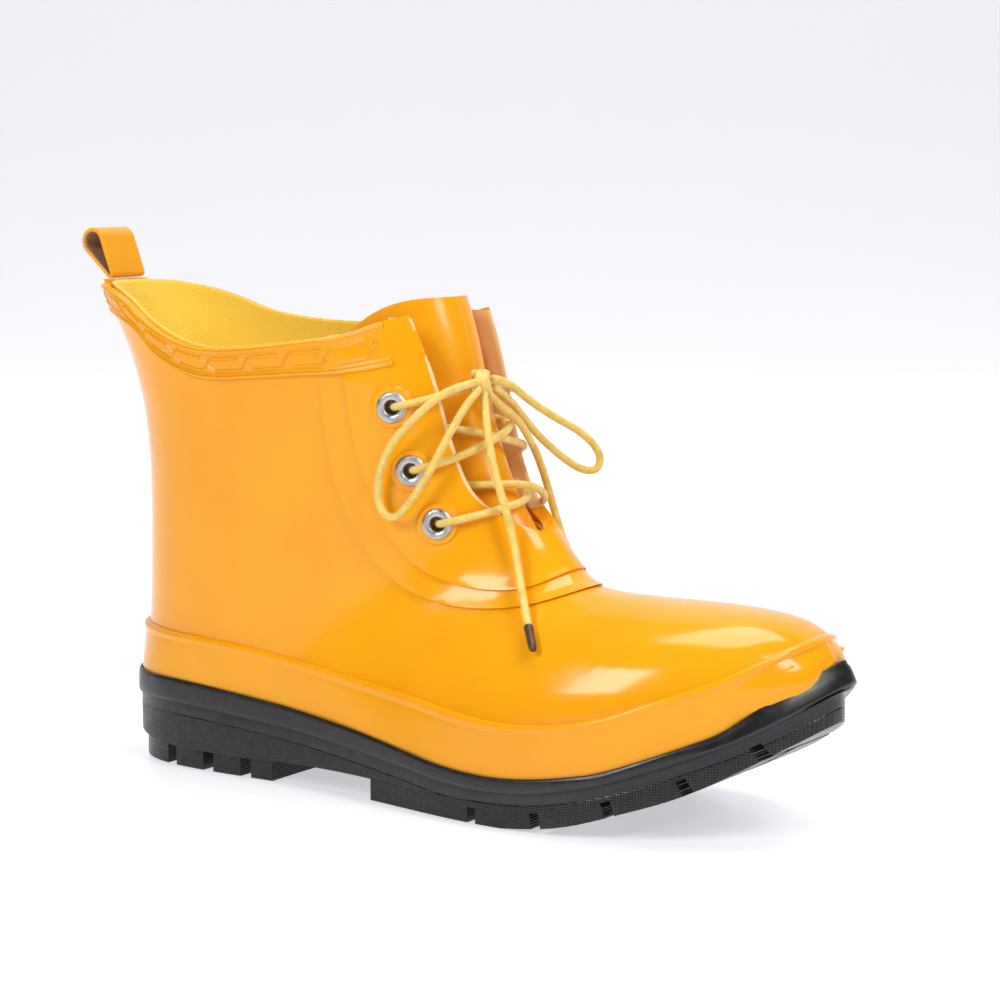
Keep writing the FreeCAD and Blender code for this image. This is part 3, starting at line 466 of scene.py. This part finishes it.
def aglet(name, route):
    """A short crimped tip on a lace end."""
    line = nurbs_line(name, route)
    heading = line[-1] - line[-2]
    heading /= np.linalg.norm(heading)
    side = np.cross(heading, (0, 0, 1.0))
    side /= np.linalg.norm(side)
    lift = np.cross(heading, side)
    sides = 24
    verts = [line[-1] + heading * reach + radius * (math.cos(a) * side + math.sin(a) * lift * 0.9)
             for reach, radius in AGLET_PROFILE
             for a in np.linspace(0, 2 * math.pi, sides, endpoint=False)]
    faces = grid_faces(len(AGLET_PROFILE), sides, closed=True)
    faces += [tuple(range(sides - 1, -1, -1)), tuple(range(len(verts) - sides, len(verts)))]
    return finish_piece(mesh_object(name + "_tip", verts, faces), "lace_tip", stands_for=(name,))


aglet_lateral = aglet("aglet_lateral", END_LATERAL)
aglet_medial = aglet("aglet_medial", END_MEDIAL)
free_lace("lace_loop_lateral", LOOP_LATERAL)
free_lace("lace_loop_medial", LOOP_MEDIAL)
free_lace("lace_end_lateral", END_LATERAL)
free_lace("lace_end_medial", END_MEDIAL)
laced, _ = braided_tube("laced_cord", nurbs_line("lace_laced", LACED), LACE / 2)
finish_piece(laced, "lace_cord", stands_for=("lace_laced",))

# ---------------------------------------------------------------- the boot's surface
# Sections of the upper, as in the CAD model: back or bottom (x, z), front or top (x, z), half width,
# middle y, place of the widest point, and the roundness of the front and the back.
SECTIONS = np.array([
    (-19, 180, 138, 180, 37.5, 0.0, 0.44, 2.5, 2.2),
    (-10, 160, 141, 161, 37.0, 0.0, 0.44, 2.5, 2.2),
    (0.5, 138, 146, 143, 36.0, 0.0, 0.43, 2.5, 2.2),
    (5, 116, 150.5, 128, 34.8, 0.0, 0.42, 2.4, 2.2),
    (6, 94, 155.5, 115, 34.0, 0.0, 0.40, 2.3, 2.2),
    (5.5, 70, 161, 104, 33.6, 0.0, 0.38, 2.2, 2.2),
    (4, 45, 167.5, 95, 33.0, 0.0, 0.36, 2.1, 2.2),
    (6, 14, 174, 86.5, 32.4, -0.6, 0.36, 2.1, 2.3),
    (38, 6, 181, 79, 32.4, -1.8, 0.38, 2.1, 2.6),
    (90, 2, 190, 74.3, 34.6, -4.0, 0.40, 2.1, 2.4),
    (142, -2, 203, 72.8, 40.4, -4.8, 0.42, 2.1, 2.8),
    (184, -2, 219, 72.0, 43.5, -1.7, 0.44, 2.1, 4.0),
    (216, 6, 236, 71.4, 41.1, 1.1, 0.46, 2.1, 4.0),
    (240, 16, 252, 69.8, 34.8, 3.5, 0.48, 2.1, 4.0),
    (257, 26, 263, 66.5, 27.0, 5.0, 0.50, 2.1, 4.0),
    (268, 35, 271, 61.0, 18.0, 5.2, 0.50, 2.1, 3.5),
    (273, 44, 273.6, 57.0, 10.5, 5.8, 0.50, 2.1, 3.0),
])
# Side-view lines (x, z) on the boot, then the half width of the throat's slit at each height.
RIM_TOP = [(-40, 31.5), (0, 31.8), (38, 31.8), (76, 28.8), (113, 24.3), (139, 20.6), (157, 18),
           (175, 17), (190, 17.7), (205, 19.8), (219, 23), (243, 32.2), (253, 36.6), (262, 43.2),
           (280, 56.5), (310, 78)]
FOXING_TOP = [(-40, 48.5), (0, 48.5), (38, 48), (75, 45.8), (112, 41.1), (140, 38.3), (157, 36.3),
              (174, 35), (190, 35.1), (204, 36.9), (218, 40.4), (230, 44.9), (246, 51), (262, 59),
              (271, 64.5), (310, 78)]
COLLAR_LATERAL = [(-60, 169), (-14, 169), (2, 167.5), (14, 163.5), (24, 157.5), (38, 151.6), (51, 149),
                  (64, 149.2), (81, 151), (98, 153.4), (110, 156.2), (120, 159.8), (128, 162.2),
                  (140, 166), (160, 172)]
COLLAR_MEDIAL = [(-60, 169), (-14, 169), (2, 167), (14, 163.6), (28, 158.5), (44, 155.6), (64, 154.6),
                 (81, 155.2), (98, 156.8), (110, 158.8), (120, 160.6), (128, 162.6), (140, 166), (160, 172)]
BAND_FOOT_LATERAL = [(-60, 161), (-12, 160), (2, 159), (18, 154.5), (29.5, 146), (43, 140.8), (56, 139),
                     (74, 140.2), (95, 142), (108, 143), (122, 145.4), (134, 149.6), (160, 160)]
BAND_FOOT_MEDIAL = [(-60, 161), (-12, 160), (2, 158.6), (18, 153), (32, 148), (48, 145), (64, 144.4),
                    (81, 145.2), (98, 146.8), (110, 147.6), (122, 148.6), (134, 150.6), (160, 160)]
THROAT = [(26, 190), (24, 162), (22, 144.5), (21, 134), (20, 121.5), (18.6, 108), (16.5, 101), (12.5, 95.5),
          (6.5, 91.8), (0, 90.6)]
# The sole's outline from above (x, y).
PLAN = [(0, 0), (2.2, -10), (11, -24), (22, -31), (36, -34.5), (60, -36), (90, -36.5), (120, -40),
        (150, -46), (175, -49.3), (198, -48.8), (218, -45.3), (238, -38.5), (256, -28.5), (270, -15),
        (279.8, 6), (274.6, 18.5), (265, 30), (252, 38.8), (235, 44.5), (215, 46), (195, 44.5),
        (175, 41), (150, 36), (120, 32.5), (90, 33), (60, 35), (36, 34), (22, 31), (11, 24), (2.2, 10)]
# The collar band ends here, and the surface is used down to this section.
BAND_FRONT_X = 121.5
LAST_U = 15.5


def catmull(points, share, closed=False):
    """Smooth curve through points; share counts points along it and may be an array."""
    points = np.asarray(points, float)
    count = len(points)
    share = np.asarray(share, float)
    if closed:
        low = np.floor(share).astype(int)
        a, b, c, d = (points[(low + step) % count] for step in (-1, 0, 1, 2))
    else:
        share = np.clip(share, 0, count - 1)
        low = np.clip(np.floor(share).astype(int), 0, count - 2)
        padded = np.vstack((2 * points[0] - points[1], points, 2 * points[-1] - points[-2]))
        a, b, c, d = (padded[low + step] for step in range(4))
    part = (share - low)[..., None]
    return 0.5 * (2 * b + (c - a) * part + (2 * a - 5 * b + 4 * c - d) * part ** 2
                  + (3 * b - a - 3 * c + d) * part ** 3)


def height_of(curve):
    """Smooth height as a function of x, from a curve of (x, z) points."""
    dense = catmull(curve, np.linspace(0, len(curve) - 1, 40 * len(curve)))
    return lambda x: np.interp(x, dense[:, 0], dense[:, 1])


def signed_power(value, exponent):
    """A power that keeps the value's sign."""
    return np.sign(value) * np.abs(value) ** exponent


def skin(u, angle, out=0.0):
    """Design-frame points of the upper: u counts sections, angle turns from medial through the front."""
    u, angle, out = np.broadcast_arrays(np.asarray(u, float), angle, out)
    x0, z0, x1, z1, half, middle, widest, front, back = np.moveaxis(catmull(SECTIONS, u), -1, 0)
    length = np.hypot(x1 - x0, z1 - z0)
    ahead = np.sin(angle) >= 0
    power = 2 / np.where(ahead, front, back)
    reach = np.where(ahead, length * (1 - widest), length * widest) + out
    along = widest * length + reach * signed_power(np.sin(angle), power)
    across = middle + (half + out) * signed_power(np.cos(angle), power)
    return np.stack([x0 + (x1 - x0) / length * along, across, z0 + (z1 - z0) / length * along], axis=-1)


def first_u(angle, excess, out=0.0):
    """The smallest u at each angle whose point is inside a region (excess no more than zero)."""
    steps = 600
    levels = np.linspace(0, LAST_U, steps)
    points = skin(levels[:, None], angle[None, :], out)
    over = excess(points)
    index = np.argmax(over <= 0, axis=0)
    index = np.where((over <= 0).any(axis=0), index, steps - 1)
    before = np.maximum(index - 1, 0)
    cols = np.arange(len(angle))
    high, low = over[before, cols], over[index, cols]
    share = np.where(index > 0, high / np.maximum(high - low, 1e-9), 0.0)
    return levels[before] + share * (levels[index] - levels[before])


def over_line(lateral, medial, rise=0.0):
    """How far a point stands above a side-view line that differs between the two sides."""
    lateral_height = height_of(lateral)
    medial_height = height_of(medial)

    def excess(points):
        x, y = points[..., 0], points[..., 1]
        height = np.where(y < 0, lateral_height(x), medial_height(x))
        return points[..., 2] - height - rise
    return excess


THROAT_DENSE = catmull(THROAT, np.linspace(0, len(THROAT) - 1, 400))


def throat_half(z, step):
    """Half width of the throat slit at a height; below its foot it is negative."""
    half = np.interp(z, THROAT_DENSE[::-1, 1], THROAT_DENSE[::-1, 0], left=-1.0)
    return np.where(z < THROAT[-1][1] - step, -1.0, half + step)


# ---------------------------------------------------------------- collar band
# Along the band s is in millimetres, and across it w runs from 0 at the foot to 1 at the top.
LINK = 16.3
LINK_W = 0.51
RIB_PITCH = 0.95
SUNK = -0.3


def bead(at, middle, half):
    """A rounded ridge of height one."""
    return np.clip(1 - ((at - middle) / half) ** 2, 0, None) ** 0.5


band_top_line = over_line(COLLAR_LATERAL, COLLAR_MEDIAL)
band_foot_line = over_line(BAND_FOOT_LATERAL, BAND_FOOT_MEDIAL)
turn = np.radians(np.linspace(95, 445, 2801))
turn_top = skin(first_u(turn, band_top_line), turn)
turn = turn[turn_top[:, 0] <= BAND_FRONT_X]
middle_line = skin((first_u(turn, band_top_line) + first_u(turn, band_foot_line)) / 2, turn)
travel = np.concatenate(([0], np.cumsum(np.linalg.norm(np.diff(middle_line, axis=0), axis=1))))
BAND_LENGTH = travel[-1]
band_s = np.linspace(0, BAND_LENGTH, int(BAND_LENGTH / 0.36))
band_angle = np.interp(band_s, travel, turn)
u_top = first_u(band_angle, band_top_line)
u_foot = first_u(band_angle, band_foot_line)
band_w = np.linspace(0, 1, 58)
s_grid, w_grid = np.meshgrid(band_s, band_w)
# Links side by side: swing is half a link's height in w, and dip pinches it at both its ends.
phase = np.abs(((s_grid - 5.0) / LINK + 0.5) % 1.0 - 0.5) * LINK
dip = np.clip(1 - phase / 2.4, 0, 1)
swing = 0.215 * (1 - 0.86 * dip)
end_gap = np.minimum(s_grid, BAND_LENGTH - s_grid)
in_field = np.clip((end_gap - 2.6) / 0.5, 0, 1)
link_lines = np.maximum(bead(w_grid, LINK_W + swing, 0.035), bead(w_grid, LINK_W - swing, 0.035))
inside_link = np.clip((swing - 0.045 - np.abs(w_grid - LINK_W)) / 0.02, 0, 1)
ribs = 0.5 + 0.5 * np.sin(2 * math.pi * (s_grid + 4.0 * w_grid) / RIB_PITCH)
upper_row = np.clip(1 - np.abs(w_grid - 0.825) / 0.03, 0, 1) ** 0.5
relief = 0.75 + 0.55 * link_lines * in_field + 0.15 * ribs * inside_link * in_field
relief += 0.22 * ribs * upper_row
relief += 0.75 * bead(w_grid, 0.055, 0.062) + 0.42 * bead(w_grid, 0.165, 0.036)
relief += 0.24 * bead(w_grid, 0.885, 0.022) + 0.72 * bead(w_grid, 0.955, 0.052)
relief += 0.40 * bead(end_gap, 1.0, 1.0) * (w_grid < 0.9)
relief = np.minimum(relief, 1.75)
# Over the eyelet facing the band stands higher.
band_u = u_foot + (u_top - u_foot) * w_grid
band_x = skin(band_u, band_angle[None, :])[..., 0]
relief += 1.15 * np.clip((band_x - 99.0) / 3.0, 0, 1)
band_points = skin(band_u, band_angle[None, :], relief)
foot_row = skin(u_foot, band_angle, SUNK)[None]
cap = []
for out, rise in ((1.35, 0.20), (0.8, 0.32), (0.3, 0.25), (-0.1, 0.05), (-0.25, -0.6)):
    edge = skin(u_top, band_angle, out)
    edge[:, 2] += rise
    cap.append(edge[None])
band_rows = np.concatenate([foot_row, band_points] + cap)
# Both ends of the band close into the skin.
root_u = np.clip(np.concatenate(([u_foot[0]], band_u[:, 0], [u_top[0]] * len(cap))), 0, None)
start, end = (skin(root_u, angle, SUNK)[:, None] for angle in (band_angle[0], band_angle[-1]))
band_rows = np.concatenate([start, band_rows, end], axis=1)
band = mesh_object("collar_band_embossed", row(band_rows.reshape(-1, 3)), grid_faces(*band_rows.shape[:2]))
finish_piece(band, "yellow_rubber", stands_for=("collar_band",))

# ---------------------------------------------------------------- lining
PARTING_HEIGHT = height_of(PARTING)
# The insole board's thickness, the lining's two skins, its stand above the collar and its
# clearance of the throat's edge, all in millimetres.
BOARD = 2.5
LINING_OUT = -3.1
LINING_IN = -4.5
LINING_STAND = 1.2
LINING_STEP = 6.5
LINING_LAST_U = 15.6


def half_gap(u, step, out=LINING_OUT):
    """Angle from the boot's front ridge to the throat's edge, at each u; zero below the throat."""
    spread = np.linspace(0, math.radians(80), 900)
    points = skin(np.asarray(u)[:, None], math.pi / 2 + spread[None, :], out)
    beyond = np.abs(points[..., 1]) - throat_half(points[..., 2], step)
    index = np.argmax(beyond >= 0, axis=1)
    return spread[index]


def cloth_sheet(name, u_rows, angles, outs, settle=None):
    """A thin closed cloth: an outer and an inner skin joined round the edge, with UVs in metres."""
    outside = skin(u_rows, angles, outs[0])
    inside = skin(u_rows, angles, outs[1])
    rows, columns = u_rows.shape
    if settle:
        outside, inside = settle(outside), settle(inside)
    points = np.concatenate([outside.reshape(-1, 3), inside.reshape(-1, 3)])
    faces = grid_faces(rows, columns)
    half = rows * columns
    faces = faces + [tuple(half + index for index in reversed(face)) for face in faces]
    border = list(range(columns))
    border += [r * columns + columns - 1 for r in range(1, rows)]
    border += [(rows - 1) * columns + c for c in range(columns - 2, -1, -1)]
    border += [r * columns for r in range(rows - 2, 0, -1)]
    for one, two in zip(border, border[1:] + border[:1]):
        faces.append((two, one, half + one, half + two))
    obj = mesh_object(name, row(points), faces)
    along, down = (np.cumsum(np.linalg.norm(np.diff(inside, axis=axis), axis=2), axis=axis)
                   for axis in (1, 0))
    along = np.concatenate((np.zeros((rows, 1)), along), axis=1)
    down = np.concatenate((np.zeros((1, columns)), down))
    middle = along[:, columns // 2:columns // 2 + 1]
    flat = np.stack([(along - middle) * 0.001, down * 0.001], axis=-1).reshape(-1, 2)
    uv = np.concatenate([flat, flat])
    layer = obj.data.uv_layers.new(name="cloth")
    corners = np.empty(len(obj.data.loops), np.int32)
    obj.data.loops.foreach_get("vertex_index", corners)
    layer.data.foreach_set("uv", uv[corners].astype(np.float32).ravel())
    return obj


def on_board(points):
    """Cloth that would pass through the insole board lies on it instead."""
    lowest = PARTING_HEIGHT(points[..., 0]) + BOARD + 0.15
    points[..., 2] = np.maximum(points[..., 2], lowest)
    return points


rng = np.random.default_rng(7)
levels = np.linspace(0, 1, 112) ** 1.15
share = np.linspace(0, 1, 340)


def round_from(gap):
    """Angles from one edge of the throat, round the back, to the other edge."""
    return math.pi / 2 + gap + share * (2 * math.pi - 2 * gap)


side_angle = round_from(math.radians(38))
top_line = over_line(COLLAR_LATERAL, COLLAR_MEDIAL, LINING_STAND)
for _ in range(3):
    tops = first_u(side_angle, top_line, LINING_IN)
    edge_gaps = half_gap(tops[0] + (LAST_U - tops[0]) * levels, LINING_STEP)
    side_angle = round_from(edge_gaps[0])
lining_angle = round_from(edge_gaps[:, None])
fray = rng.normal(0, 0.0045, len(share)) + 0.010 * np.abs(np.sin(np.arange(len(share)) * 0.9))
tops = tops + fray
lining_u = tops[None, :] + (LINING_LAST_U - tops[None, :]) * levels[:, None]
# At the back it bulges over the pull loop's inner tail.
over_tail = np.clip((0.42 - np.abs(lining_angle - 1.5 * math.pi)) / 0.08, 0, 1)
over_tail *= np.clip((2.4 - lining_u) / 0.4, 0, 1)
lining_outs = (LINING_OUT, LINING_IN - 1.1 * over_tail)
lining = cloth_sheet("lining_twill", lining_u, lining_angle, lining_outs, on_board)
finish_piece(lining, "lining_cloth", stands_for=("lining",))


# ---------------------------------------------------------------- cloth backing of the eyestays
SIDES = (("lateral", 1), ("medial", -1))
BACKING_SPREAD = math.radians(13.0)
BACKING_FOOT_U = 5.5
rows = np.linspace(0, 1, 90)
strip_top = over_line(COLLAR_LATERAL, COLLAR_MEDIAL, -0.4)
for side_name, sign in SIDES:
    near = half_gap(0.02 + (5.55 - 0.02) * rows, 0.25)
    spread = near[:, None] + np.linspace(0, 1, 26)[None, :] * BACKING_SPREAD
    spread[:, -1] += rng.normal(0, 0.004, len(rows))
    strip_angle = math.pi / 2 + sign * spread
    strip_tops = first_u(strip_angle[0], strip_top, -3.5)
    strip_u = strip_tops[None, :] + (BACKING_FOOT_U - strip_tops[None, :]) * rows[:, None]
    backing = cloth_sheet("eyestay_backing_" + side_name, strip_u, strip_angle, (-3.02, -3.55))
    finish_piece(backing, "lining_cloth", look=backing_cloth)

# ---------------------------------------------------------------- cut edges of the throat
# Outward distance and step from the throat's edge, from the inner face round to the outer one.
CUT_PROFILE = ((-2.95, 0.05), (-2.9, -0.30), (-1.8, -0.50), (-0.6, -0.45), (0.6, -0.50),
               (1.6, -0.40), (2.05, -0.05), (2.10, 0.45), (1.8, 0.6))
CUT_FOOT_U = 5.62
CUT_WOBBLE = 0.05
cut_top = over_line(COLLAR_LATERAL, COLLAR_MEDIAL, -0.1)
for side_name, sign in SIDES:
    edge_angle = math.pi / 2 + sign * half_gap(np.array([0.3]), 0.0, 0.0)
    start_u = first_u(edge_angle, cut_top)[0]
    edge_u = start_u + (CUT_FOOT_U - start_u) * np.linspace(0, 1, 120)
    columns = []
    for out, step in CUT_PROFILE:
        wobble = rng.normal(0, CUT_WOBBLE, len(edge_u))
        gap = half_gap(edge_u, step, out)
        columns.append(skin(edge_u, math.pi / 2 + sign * gap, out + wobble))
    cut_points = np.stack(columns, axis=1)
    cut = mesh_object("eyestay_cut_" + side_name, row(cut_points.reshape(-1, 3)),
                      grid_faces(*cut_points.shape[:2]))
    finish_piece(cut, "yellow_rubber", look=cut_rubber)

# ---------------------------------------------------------------- footbed
FOOTBED_HEEL, FOOTBED_TOE = 12.0, 262.0
FOOTBED_INSET = 8.2
outline = catmull(PLAN, np.linspace(0, len(PLAN), 900), closed=True)
lateral = outline[outline[:, 1] < -2]
medial = outline[outline[:, 1] > 2]
eased = (1 - np.cos(np.linspace(0.10, math.pi - 0.10, 120))) / 2
stations = FOOTBED_HEEL + (FOOTBED_TOE - FOOTBED_HEEL) * eased
ring = np.linspace(0, 2 * math.pi, 96, endpoint=False)
footbed_points = []
for x in stations:
    low = np.interp(x, np.sort(lateral[:, 0]), lateral[np.argsort(lateral[:, 0]), 1])
    high = np.interp(x, np.sort(medial[:, 0]), medial[np.argsort(medial[:, 0]), 1])
    taper = min(1.0, ((x - 11.0) / 22.0) ** 0.5, ((263.5 - x) / 22.0) ** 0.5)
    middle = (low + high) / 2
    half = max((high - low) / 2 - FOOTBED_INSET, 2.0) * taper
    base = PARTING_HEIGHT(x) + BOARD + 0.4
    for a in ring:
        across_share = math.cos(a)
        side = math.copysign(abs(across_share) ** 0.7, across_share)
        lift = math.copysign(abs(math.sin(a)) ** 0.5, math.sin(a))
        cup = 1.6 * abs(side) ** 3
        footbed_points.append((x, middle + half * side, base + 2.2 + 2.0 * lift + (cup if lift > 0 else 0)))
footbed_faces = grid_faces(len(stations), len(ring), closed=True)
count = len(ring)
first = len(footbed_points)
last_row = first - count
for start in (0, last_row):
    footbed_points.append(tuple(np.mean(footbed_points[start:start + count], axis=0)))
footbed_faces += [(first, (c + 1) % count, c) for c in range(count)]
footbed_faces += [(first + 1, last_row + c, last_row + (c + 1) % count) for c in range(count)]
footbed = mesh_object("footbed_pad", row(footbed_points), footbed_faces)
finish_piece(footbed, "footbed_cloth", stands_for=("footbed",))

# ---------------------------------------------------------------- knot
knot_centre = np.array(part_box("lace_knot")).mean(axis=0)
knot_u = np.array((0.0, 0.0, 1.0))
knot_v = np.array((math.cos(YAW), math.sin(YAW), 0.0))
knot_w = np.cross(knot_u, knot_v)
KNOT_WINDING = 2 * math.pi * 2.6
KNOT_RETURN = 2 * math.pi * 0.8
KNOT_LENGTH = 0.0048


def knot_point(angle, share, slide):
    """A point on the winding: share scales its radius, and slide runs along the knot."""
    return (knot_centre + 0.0031 * math.cos(angle) * share * knot_u
            + 0.0029 * math.sin(angle) * share * knot_w + slide * KNOT_LENGTH * knot_v)


wound = [knot_point(KNOT_WINDING * t, 1.0, t - 0.5) for t in np.linspace(0, 1, 260)]
wound += [knot_point(KNOT_WINDING + KNOT_RETURN * t, 1 - 0.4 * t, 0.5 - t)
          for t in np.linspace(0, 1, 160)[1:]]
knot, _ = braided_tube("lace_knot_wound", np.array(wound), 0.00145, 14, 0.0004)
finish_piece(knot, "lace_cord", stands_for=("lace_knot",))

# ---------------------------------------------------------------- foxing and rim
FOXING_HEIGHT = height_of(FOXING_TOP)
RIM_HEIGHT = height_of(RIM_TOP)
plan = catmull(PLAN, np.linspace(0, len(PLAN), 1401)[:-1], closed=True)
forward = np.roll(plan, -1, axis=0) - np.roll(plan, 1, axis=0)
forward /= np.linalg.norm(forward, axis=1)[:, None]
inward = np.stack([-forward[:, 1], forward[:, 0]], axis=1)
if np.sum(inward * (plan.mean(axis=0) - plan)) < 0:
    inward = -inward


def toe_lean(x):
    """How far the rim's top edge leans in round the toe."""
    share = np.clip((x - 236.0) / 42.0, 0, 1)
    return 3.0 * share * share * (3 - 2 * share)


def evened(values, reach):
    """Running mean round the closed outline."""
    weights = np.hanning(2 * reach + 3)[1:-1]
    weights /= weights.sum()
    padded = np.concatenate([values[-reach:], values, values[:reach]])
    return np.convolve(padded, weights, mode="valid")


# Rays start this far outside the outline, in millimetres.
RAY_START = 6
foxing_node = NODES["foxing_band"]
tree = BVHTree.FromPolygons(
    [tuple(foxing_node.matrix_world @ v.co) for v in foxing_node.data.vertices],
    [tuple(p.vertices) for p in foxing_node.data.polygons])
plan_x = plan[:, 0]
low_z = RIM_HEIGHT(plan_x)


def foxing_inset(index, z):
    """How far inwards of the sole's outline the CAD foxing stands at a height, or None above it."""
    x, y = plan[index] - RAY_START * inward[index]
    hit = tree.ray_cast(Vector(row((x, y, z))), Vector((*inward[index], 0.0)), 0.03)
    return hit[3] * 1000 - RAY_START if hit[0] is not None else None


def ring_row(inset, z):
    """The sole's outline moved inwards by an inset at each point, at a height."""
    return np.column_stack([plan + inward * inset[:, None], z])


high_z = np.zeros(len(plan))
for index in range(len(plan)):
    z = FOXING_HEIGHT(plan_x[index]) + 0.5
    while foxing_inset(index, z) is None and z > low_z[index] + 2:
        z -= 0.25
    high_z[index] = z
high_z = evened(high_z, 14) - 0.15
foxing_rows = []
for t in np.linspace(0.04, 0.97, 22):
    found = []
    for index in range(len(plan)):
        z = low_z[index] + (high_z[index] - low_z[index]) * t
        inset = foxing_inset(index, z)
        while inset is None:
            z -= 0.3
            inset = foxing_inset(index, z)
        found.append(inset)
    foxing_rows.append((t, evened(np.array(found), 9)))
# Two rows tuck in behind the rim, a ridge runs round near the top, and three rows close it.
lean = toe_lean(plan_x)
rows = [ring_row(foxing_rows[0][1] + lean + 0.05, low_z + drop) for drop in (-3.5, -0.5)]
for t, found in foxing_rows:
    swell = 0.55 * bead(t, 0.93, 0.075) - 0.10 * np.clip(1 - abs(t - 0.82) / 0.04, 0, 1)
    z = low_z + (high_z - low_z) * t
    rows.append(ring_row(found + lean * (1 - t) - swell, z))
for inset_more, rise in ((0.45, 0.55), (1.3, 0.75), (3.4, 0.45)):
    rows.append(ring_row(found + inset_more, z + rise))
foxing_grid = np.stack(rows)
foxing = mesh_object("foxing_moulded", row(foxing_grid.reshape(-1, 3)),
                     grid_faces(*foxing_grid.shape[:2], closed=True))
finish_piece(foxing, "yellow_rubber", stands_for=("foxing_band",))

# The rim's profile: inset, share of the way from the parting line to the rim's top, and rise.
RIM_PROFILE = ((2.6, 0.0, -0.6), (0.75, 0.0, -0.5), (0.70, 0.0, 0.15), (0.15, 0.0, 0.45),
               (0.0, 0.0, 0.9), (-0.05, 0.25, 0.0), (0.0, 0.5, 0.0), (0.05, 0.75, 0.0),
               (0.10, 1.0, -0.9), (0.25, 1.0, -0.35), (0.55, 1.0, -0.05), (0.9, 1.0, 0.0),
               (1.25, 1.0, -0.2), (1.5, 1.0, -0.8), (2.6, 1.0, -1.5))
foot_z = PARTING_HEIGHT(plan_x)
rim_grid = np.stack([ring_row(inset + lean * share ** 1.5, foot_z + (low_z - foot_z) * share + rise)
                     for inset, share, rise in RIM_PROFILE])
rim = mesh_object("sole_rim_moulded", row(rim_grid.reshape(-1, 3)),
                  grid_faces(*rim_grid.shape[:2], closed=True))
finish_piece(rim, "black_rubber", stands_for=("sole_rim",))

# ---------------------------------------------------------------- CAD nodes that stay
def loop_look():
    """Yellow rubber outside and tan cloth on the faces that look at the middle of the loop."""
    low, high = (Vector(corner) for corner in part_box("pull_loop"))
    middle = NODES["pull_loop"].matrix_world.inverted() @ ((low + high) / 2)
    made = Look("loop_strap", YELLOW, 0.32, Coat_Weight=0.15, Coat_Roughness=0.2)
    coords = made.tree.nodes.new("ShaderNodeTexCoord").outputs

    def vector(operation, a, b):
        return made.node("VectorMath", {0: a, 1: b}, operation=operation).outputs

    away = vector("SUBTRACT", coords["Object"], tuple(middle))[0]
    flat = vector("MULTIPLY", away, (1.0, 0.0, 1.0))[0]
    facing = vector("DOT_PRODUCT", flat, coords["Normal"])["Value"]
    inside = made.between(facing, -0.0003, -0.0008)
    grain = made.between(made.noise(2200.0, 3.0), 0.35, 0.65)
    cloth = made.blend(grain, (0.40, 0.20, 0.09), (0.58, 0.33, 0.17))
    drift = made.between(made.noise(60.0, 4.0), 0.35, 0.65)
    made.colour(made.blend(inside, made.blend(drift, YELLOW, YELLOW_DEEP), cloth))
    made.rough(made.between(inside, 0.0, 1.0, 0.32, 0.85))
    made.bump(made.math("MULTIPLY", grain, inside), 0.0003, 0.6)
    made.bump(made.noise(420.0, 3.0), 0.00008, 0.6)
    return made.material


OWN_LOOKS = {"outsole": lug_rubber, "pull_loop": loop_look()}
# Widths of the rounded edges, and the nodes that keep theirs sharp.
EDGES = {"black_rubber": 0.0007, "eyelet_metal": 0.00025, "yellow_rubber": 0.00035,
         "strap_rubber": 0.0003}
SHARP = ("upper_shell",)
for name, node in NODES.items():
    plain = node.material_slots[0].material if node.material_slots else None
    slot = next((slot for slot in LOOKS if plain and plain.name.startswith(slot)), None)
    if slot:
        node.material_slots[0].material = OWN_LOOKS.get(name, LOOKS[slot])
    width = EDGES.get(slot) if name not in SHARP else None
    if width and not node.hide_render:
        weld = node.modifiers.new("weld", "WELD")
        weld.merge_threshold = 0.00002
        bevel = node.modifiers.new("edge", "BEVEL")
        bevel.width = width
        bevel.segments = 3
        bevel.limit_method = "ANGLE"
        bevel.angle_limit = math.radians(40)
